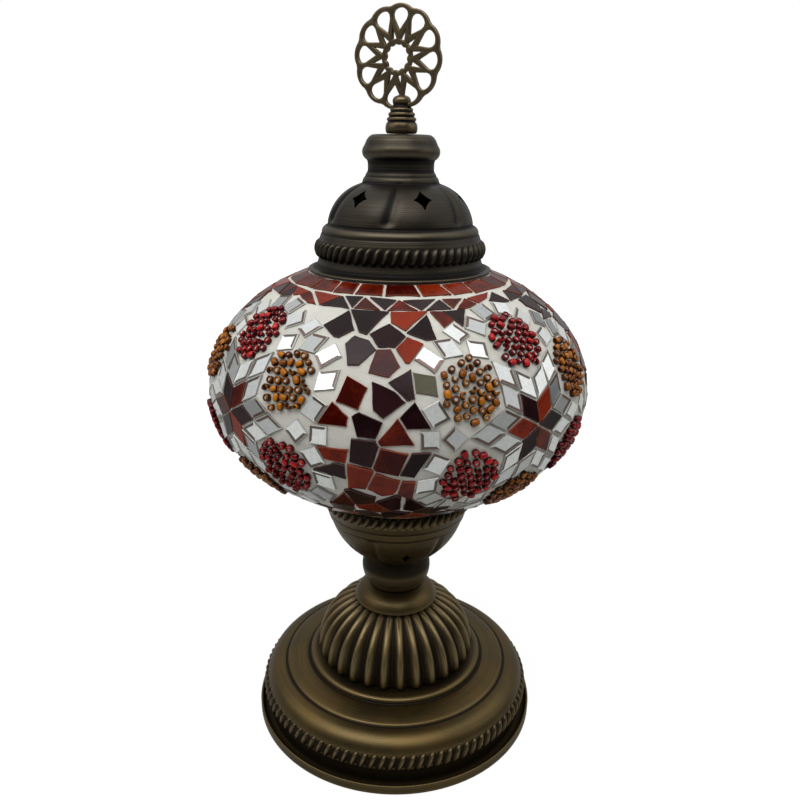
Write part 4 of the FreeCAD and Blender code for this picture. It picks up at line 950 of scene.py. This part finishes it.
# the separate solids of a node, each as its outer face's corners and normal
def tilesOf(node):
    work = bmesh.new()
    work.from_mesh(frame["nodes"][node].data)
    bmesh.ops.remove_doubles(work, verts=work.verts, dist=0.002 * mm)
    work.faces.ensure_lookup_table()
    heart = Vector((0, 0, globeSpec["middle"] * mm))
    wide, tall = globeSpec["bedWide"] ** 2, globeSpec["bedTall"] ** 2
    seen, found = set(), []
    for first in work.faces:
        if first.index in seen:
            continue
        stack, island = [first], []
        seen.add(first.index)
        while stack:
            face = stack.pop()
            island.append(face)
            for edge in face.edges:
                for other in edge.link_faces:
                    if other.index not in seen:
                        seen.add(other.index)
                        stack.append(other)
        out = sum((f.calc_center_median() for f in island), Vector()) / len(island) - heart
        found.append(outerLoop(island, Vector((out.x / wide, out.y / wide, out.z / tall)).normalized()))
    work.free()
    return found


# corners of the outer face in order, anticlockwise from outside, and its normal
def outerLoop(island, out):
    lead = max((f for f in island if f.normal.dot(out) > 0.9), key=lambda f: f.calc_area())
    normal = lead.normal.copy()
    inside = {f for f in island if f.normal.dot(normal) > 0.999}
    following = {}
    for face in inside:
        for loop in face.loops:
            if sum(f in inside for f in loop.edge.link_faces) == 1:
                following[loop.vert] = loop.link_loop_next.vert
    here = start = min(following, key=lambda v: tuple(round(value, 6) for value in v.co))
    loop = []
    while here is not start or not loop:
        loop.append(np.array(here.co) / mm)
        here = following[here]
    return np.array(loop), np.array(normal)


# grow, chamfer, wobble and sink in millimetres; tilt is the most that a tile leans
tileSpec = {
    "red_tiles": {"finish": "red_glass", "grow": 0.34, "chamfer": 0.20, "wobble": 0.16, "tilt": 1.3,
                  "sink": 0.18},
    "dark_tiles": {"finish": "aubergine_glass", "grow": 0.34, "chamfer": 0.20, "wobble": 0.16, "tilt": 1.3,
                   "sink": 0.18},
    "rim_tiles": {"finish": "red_glass", "grow": 0.25, "chamfer": 0.20, "wobble": 0.16, "tilt": 1.0,
                  "sink": 0.18},
    "star_tiles_red": {"finish": "red_glass", "grow": 0.04, "chamfer": 0.18, "wobble": 0.05, "tilt": 1.0,
                       "sink": 0.18},
    "star_tiles_dark": {"finish": "aubergine_glass", "grow": 0.04, "chamfer": 0.18, "wobble": 0.05,
                        "tilt": 1.0, "sink": 0.18},
    "tinted_squares": {"finish": "olive_glass", "grow": 0.3, "chamfer": 0.26, "wobble": 0.04, "tilt": 1.0,
                       "sink": 0.13},
    "mirror_squares": {"finish": "silvered_glass", "grow": 0.34, "chamfer": 0.26, "wobble": 0.05, "tilt": 2.0,
                       "sink": 0.13},
    "mirror_rhombs": {"finish": "silvered_glass", "grow": 0.04, "chamfer": 0.24, "wobble": 0.04, "tilt": 1.6,
                      "sink": 0.13},
}
tileShape = {"depth": 1.9, "band": 1.05, "bandDrop": 0.02, "thirds": (0.33, 0.67)}
bandedFinishes = ("silvered_glass", "olive_glass")


# an outline moved inwards by a gap, or outwards when the gap is negative
def drawnIn(flat, gap):
    moved = []
    for k, here in enumerate(flat):
        first, second = here - flat[k - 1], flat[(k + 1) % len(flat)] - here
        n1, n2 = (np.array([-way[1], way[0]]) / max(np.hypot(*way), 1e-6) for way in (first, second))
        moved.append(here + (n1 + n2) * gap / max(1 + float(n1 @ n2), 0.35))
    return np.array(moved)


# each tile is rebuilt on its solid's outline, with ground edges and a small lean
def tilePiece(node, spec, dice):
    verts, faces, cut, strip, shade, pane = [], [], [], [], [], []
    banded, chamfer = spec["finish"] in bandedFinishes, spec["chamfer"]
    for corners, normal in tilesOf(node):
        middle = corners.mean(0)
        across = corners[1] - corners[0]
        across /= np.linalg.norm(across)
        up = np.cross(normal, across)
        flat = drawnIn(np.array([((c - middle) @ across, (c - middle) @ up) for c in corners]), -spec["grow"])
        edged = []
        for a, b in zip(flat, np.roll(flat, -1, 0)):
            side = np.array([b[1] - a[1], a[0] - b[0]]) / np.hypot(*(b - a))
            edged.append(a)
            edged += [a + (b - a) * share + side * dice.uniform(-1, 1) * spec["wobble"]
                      for share in tileShape["thirds"]]
        edged = np.array(edged)
        rings = [(edged, -tileShape["depth"]), (edged, -chamfer * 1.1),
                 (drawnIn(edged, chamfer * 0.3), -chamfer * 0.35), (drawnIn(edged, chamfer), 0.0)]
        if banded:
            rings.append((drawnIn(edged, chamfer + tileShape["band"]), -tileShape["bandDrop"]))
        most = spec["tilt"]
        slopeX, slopeY = (math.tan(math.radians(max(-most, min(most, dice.gauss(0, most * 0.6)))))
                          for _ in range(2))
        tone, turn = dice.random(), dice.uniform(0, math.tau)
        darkSide = dice.randrange(len(flat))
        base, count = len(verts), len(edged)
        for outline, depth in rings:
            for x, y in outline:
                verts.append(middle + across * x + up * y
                             + normal * (depth - spec["sink"] + x * slopeX + y * slopeY))
                shade.append(tone)
                pane.append((x * math.cos(turn) - y * math.sin(turn) + tone * 50,
                             x * math.sin(turn) + y * math.cos(turn)))
        for ring in range(len(rings) - 1):
            a, b = base + ring * count, base + (ring + 1) * count
            for k in range(count):
                after = (k + 1) % count
                faces.append((a + k, a + after, b + after, b + k))
                cut.append(1.0 if ring < 3 else 0.0)
                # the strip carries the mirrors' painted reflection band on two sides
                strip.append(1.0 if ring == 3 and k // 3 in (darkSide, (darkSide + 1) % len(flat)) else 0.0)
        top = base + (len(rings) - 1) * count
        faces += [tuple(range(top, top + count)), tuple(range(base, base + count))[::-1]]
        cut += [0.0, 1.0]
        strip += [0.0, 0.0]
    name = "".join(word.capitalize() for word in node.split("_"))
    made = makeObject(name[0].lower() + name[1:], verts, faces, finishes[spec["finish"]], False,
                      {"cut": cut, "strip": strip, "shade": shade})
    layer = made.data.uv_layers.new(name="pane")
    for loop in made.data.loops:
        layer.data[loop.index].uv = pane[loop.vertex_index]
    place(made, "stand", spec["finish"], node)


dice = random.Random(7)
for node, spec in tileSpec.items():
    tilePiece(node, spec, dice)
print("tiles laid")

beadSpec = {"radius": 1.58, "hole": 0.62, "tall": 2.5, "pitch": 3.90, "rowPitch": 0.866, "across": 11.0,
            "up": 12.5, "overhang": 1.12, "jitter": 0.30, "apart": 3.62, "pushes": 30, "push": 0.35,
            "seat": 0.96, "spread": 0.10, "rock": 0.20}


# a ring with a hole; cutAway is the share of it broken off, filling how far grout fills the hole
def ringBead(name, radius, hole, tall, cutAway=0.0, filling=0.0, steps=12):
    half, wall = tall / 2, (radius - hole) / 2
    # each section point's third number is its depth, painted light: lighter on the crown, darker on the walls
    # and underneath
    section = [(hole, -half * 0.6, 0.0), (hole, half * 0.55, 0.20), (hole + wall * 0.7, half, 0.62),
               (radius - wall * 0.35, half * 0.8, 0.52), (radius, half * 0.1, 0.12),
               (radius * 0.97, -half * 0.7, 0.0), (radius - wall, -half, 0.0)]
    count = max(5, int(steps * (1 - cutAway)) + 1) if cutAway else steps
    gaps, size = count - 1 if cutAway else count, len(section)
    verts, deep = [], []
    for k in range(count):
        angle = math.tau * (1 - cutAway) * k / gaps
        verts += [(r * math.cos(angle), r * math.sin(angle), z) for r, z, _ in section]
        deep += [d for _, _, d in section]
    plug = [0.0] * len(verts)
    faces = []
    for k in range(gaps):
        a, b = k * size, ((k + 1) % count) * size
        faces += [(a + i, b + i, b + (i + 1) % size, a + (i + 1) % size) for i in range(size)]
    if cutAway:
        faces += [tuple(range(size)), tuple(range((count - 1) * size, count * size))[::-1]]
    if filling:
        base, wide = len(verts), hole * 1.06
        turns = [math.tau * k / 8 for k in range(8)]
        levels = (-half, half * filling)
        verts += [(wide * math.cos(t), wide * math.sin(t), level) for level in levels for t in turns]
        deep += [1.0] * 16
        plug += [1.0] * 16
        faces += [(base + k, base + (k + 1) % 8, base + 8 + (k + 1) % 8, base + 8 + k) for k in range(8)]
        faces += [tuple(range(base, base + 8))[::-1], tuple(range(base + 8, base + 16))]
    layers = {"depth": deep, "plug": plug}
    return outwards(makeObject(name, verts, faces, finishes["amber_beads"], True, layers))


# a bead on its side: the hole's axis lies along the surface
def lyingBead(name, radius, hole, tall):
    made = ringBead(name, radius, hole, tall)
    # depth here is painted light, lighter along the bead's top
    deep = [0.15 + 0.85 * max(0.0, v.co.x / mm / radius) ** 1.3 for v in made.data.vertices]
    made.data.attributes["depth"].data.foreach_set("value", np.array(deep, np.float32))
    made.data.transform(turned("Y", -90))
    return made


# points that carry their way outwards each get one of four beads, turned and rocked at random
def beadTree():
    tree, given = newTree("seedBeads", {
        "Ring Bead": "Object", "Thick Bead": "Object", "Lying Bead": "Object", "Broken Bead": "Object",
        "Size Spread": "Float", "Rock": "Float", "Seed": "Int", "Finish": "Material"})
    add = Signal(tree).node

    def anyNumber(low, high, step):
        span = {"Seed": given["Seed"] + step, 2: low, 3: high}
        return add("FunctionNodeRandomValue", {"data_type": "FLOAT"}, span, 1)
    shaded = add("GeometryNodeStoreNamedAttribute", {"data_type": "FLOAT", "domain": "POINT"},
                 {"Geometry": given["Geometry"], "Name": "shade", "Value": anyNumber(0.0, 1.0, 1)})
    kinds = add("GeometryNodeGeometryToInstance")
    for label in ("Broken Bead", "Lying Bead", "Thick Bead", "Ring Bead"):      # the last joined comes first
        bead = add("GeometryNodeObjectInfo", {}, {"Object": given[label]}, "Geometry")
        tree.links.new(bead.socket, kinds.socket.node.inputs[0])
    outward = add("GeometryNodeInputNamedAttribute", {"data_type": "FLOAT_VECTOR"}, {"Name": "outward"})
    stood = add("FunctionNodeAlignRotationToVector", {"axis": "Z"}, {"Vector": outward})
    lean = add("ShaderNodeCombineXYZ", {}, {"X": anyNumber(given["Rock"] * -1.0, given["Rock"], 2),
                                            "Z": anyNumber(0.0, math.tau, 3)})
    spunRound = add("FunctionNodeRotateRotation", {"rotation_space": "LOCAL"}, {
        "Rotation": stood, "Rotate By": add("FunctionNodeEulerToRotation", {}, {"Euler": lean})})
    size = anyNumber(1.0 - given["Size Spread"], 1.0 + given["Size Spread"] * 0.6, 4)
    choice = anyNumber(0.0, 1.0, 5)
    rarer = (choice.maths("GREATER_THAN", above) for above in (0.55, 0.88))
    kind = sum(rarer, choice.maths("GREATER_THAN", 0.42))
    copies = add("GeometryNodeInstanceOnPoints", {}, {
        "Points": shaded, "Instance": kinds, "Pick Instance": True, "Instance Index": kind,
        "Rotation": spunRound, "Scale": size})
    real = add("GeometryNodeRealizeInstances", {}, {"Geometry": copies})
    coated = add("GeometryNodeSetMaterial", {}, {"Geometry": real, "Material": given["Finish"]})
    add("NodeGroupOutput", {}, {"Geometry": coated})
    return tree


# spots in an oval, near a hexagonal grid but uneven, pushed off one another
def beadSpots(spec, dice):
    spots = []
    rows = int(spec["up"] / spec["pitch"]) + 2
    shift, slant = dice.uniform(0, spec["pitch"]), dice.uniform(0, math.tau)
    spread = spec["jitter"] * spec["pitch"] * 0.5
    for row in range(-rows, rows + 1):
        for column in range(-rows, rows + 1):
            x = (column + 0.5 * (row % 2)) * spec["pitch"] + shift * 0.5
            y = row * spec["pitch"] * spec["rowPitch"]
            x, y = x * math.cos(slant) - y * math.sin(slant), x * math.sin(slant) + y * math.cos(slant)
            x += dice.gauss(0, spread)
            y += dice.gauss(0, spread)
            if (x / spec["across"]) ** 2 + (y / spec["up"]) ** 2 < spec["overhang"]:
                spots.append((x, y))
    spots = np.array(spots)
    reach = np.array([spec["across"], spec["up"]])
    for _ in range(spec["pushes"]):
        gap = spots[:, None] - spots[None]
        far = np.hypot(gap[..., 0], gap[..., 1]) + np.eye(len(spots)) * 99
        push = np.clip(spec["apart"] - far, 0, None) / far
        spots = spots + (gap * push[..., None]).sum(1) * spec["push"]
        spots /= np.maximum(np.hypot(*(spots / reach).T), 1.0)[:, None]
    return spots


# the point of the grout over this one, and the way out of the globe there
def onGrout(point):
    middle = np.array([0, 0, globeSpec["middle"]])
    size = np.array([globeSpec["groutWide"], globeSpec["groutWide"], globeSpec["groutTall"]])
    spot = point - middle
    spot /= np.linalg.norm(spot / size)
    way = spot / size ** 2
    return spot + middle, way / np.linalg.norm(way)


def beadCentres(node, spec, dice):
    centres, ways = [], []
    for corners, normal in tilesOf(node):
        across = np.cross((0.0, 0.0, 1.0), normal)
        across /= np.linalg.norm(across)
        up = np.cross(normal, across)
        for x, y in beadSpots(spec, dice):
            spot, way = onGrout(corners.mean(0) + across * x + up * y)
            centres.append(spot + way * spec["seat"])
            ways.append(way)
    return np.array(centres), np.array(ways)


def beadPiece(node, name, slot, seed, tree, prototypes):
    centres, ways = beadCentres(node, beadSpec, random.Random(seed))
    ground = makeObject(name, centres, [], finishes[slot], False)
    layer = ground.data.attributes.new("outward", "FLOAT_VECTOR", "POINT")
    layer.data.foreach_set("vector", ways.astype(np.float32).ravel())
    useTree(ground, tree, {**prototypes, "Size Spread": beadSpec["spread"], "Rock": beadSpec["rock"],
                           "Seed": seed, "Finish": finishes[slot]})
    made = baked(ground)
    made.data.polygons.foreach_set("use_smooth", [True] * len(made.data.polygons))
    print(name, len(centres), "beads")
    place(sharpened(made, 62), "stand", slot, node)


wide, hole, tall = (beadSpec[key] for key in ("radius", "hole", "tall"))
prototypes = {
    "Ring Bead": ringBead("ringBead", wide, hole, tall, filling=0.55),
    "Thick Bead": ringBead("thickBead", wide * 0.92, hole * 0.5, tall, filling=0.7),
    "Lying Bead": lyingBead("lyingBead", wide * 0.92, hole * 0.7, tall * 1.3),
    "Broken Bead": ringBead("brokenBead", wide, hole, tall, cutAway=0.36),
}
for bead in prototypes.values():
    scene.collection.objects.link(bead)
seedBeads = beadTree()
beadPiece("amber_bead_beds", "amberBeads", "amber_beads", 4, seedBeads, prototypes)
beadPiece("ruby_bead_beds", "rubyBeads", "ruby_beads", 8, seedBeads, prototypes)
for bead in prototypes.values():
    bpy.data.objects.remove(bead)
print("beads scattered")

# CAD pieces that keep their shape
for node, item in frame["nodes"].items():
    if item.hide_render:
        continue
    slot = next(s["material_slot"] for s in frame["record"]["subparts"] if s["node"] == node)
    item.data.materials.clear()
    item.data.materials.append(finishes[slot])

# metres; a softbox is its place, width, height and power
studioSpec = {
    "floor": (0.44, 0.44, 0.43), "floorGlow": 1.16, "nearShare": 0.80, "shadowReach": (0.22, 0.60),
    "dim": 0.05, "above": 0.50, "behind": 0.40, "floorSize": 12.0, "target": (0, 0, 0.15),
    "softboxes": {
        "frontSoftbox": ((-0.20, -0.72, 1.42), 1.7, 0.8, 15.0),
        "leftSoftbox": ((-1.05, -0.20, 0.95), 1.2, 1.2, 4.5),
        "rightSoftbox": ((1.05, -0.10, 0.85), 1.2, 1.2, 4.0),
        "topSoftbox": ((0.0, 0.05, 1.45), 1.6, 1.2, 4.0),
    },
}
white = (1.0, 1.0, 1.0, 1.0)


# the floor is nearly plain white to the eye, and a mid grey to what mirrors it
def makeFloor(spec):
    work = bmesh.new()
    bmesh.ops.create_grid(work, x_segments=1, y_segments=1, size=spec["floorSize"])
    mesh = bpy.data.meshes.new("floor")
    work.to_mesh(mesh)
    work.free()
    floor = bpy.data.objects.new("floor", mesh)
    scene.collection.objects.link(floor)
    material = bpy.data.materials.new("paleFloor")
    material.use_nodes = True
    material.node_tree.nodes.clear()
    start = Signal(material.node_tree)
    matt = start.node("ShaderNodeBsdfDiffuse", {}, {"Color": colour(spec["floor"])})
    glow = start.node("ShaderNodeEmission", {}, {"Color": white, "Strength": spec["floorGlow"]})
    seen = start.node("ShaderNodeLightPath", out="Is Camera Ray")
    radius = around(start, objectPlace(start))[0]
    share = spec["nearShare"] + radius.between(*spec["shadowReach"]) * (1 - spec["nearShare"])
    mixed = start.node("ShaderNodeMixShader", {}, {0: seen * share, 1: matt, 2: glow})
    start.node("ShaderNodeOutputMaterial", {}, {"Surface": mixed})
    mesh.materials.append(material)


def makeWorld(spec):
    world = bpy.data.worlds.new("studio")
    scene.world = world
    world.use_nodes = True
    world.node_tree.nodes.clear()
    start = Signal(world.node_tree)
    x, y, z = parts(start, start.node("ShaderNodeTexCoord", out="Generated"))
    strength = spec["dim"] + z.between(0.35, 0.95) * spec["above"] + y.between(-0.05, 0.65) * spec["behind"]
    light = start.node("ShaderNodeBackground", {}, {"Color": white, "Strength": strength})
    backdrop = start.node("ShaderNodeBackground", {}, {"Color": white, "Strength": 1.0})
    seen = start.node("ShaderNodeLightPath", out="Is Camera Ray")
    mixed = start.node("ShaderNodeMixShader", {}, {0: seen, 1: light, 2: backdrop})
    start.node("ShaderNodeOutputWorld", {}, {"Surface": mixed})


def softbox(name, target, spot, wide, tall, power):
    data = bpy.data.lights.new(name, "AREA")
    data.shape, data.size, data.size_y, data.energy = "RECTANGLE", wide, tall, power
    lamp = bpy.data.objects.new(name, data)
    scene.collection.objects.link(lamp)
    lamp.location = spot
    lamp.rotation_mode = "QUATERNION"
    lamp.rotation_quaternion = (Vector(target) - Vector(spot)).to_track_quat("-Z", "Y")


makeFloor(studioSpec)
makeWorld(studioSpec)
for name, values in studioSpec["softboxes"].items():
    softbox(name, studioSpec["target"], *values)
print("studio lit")
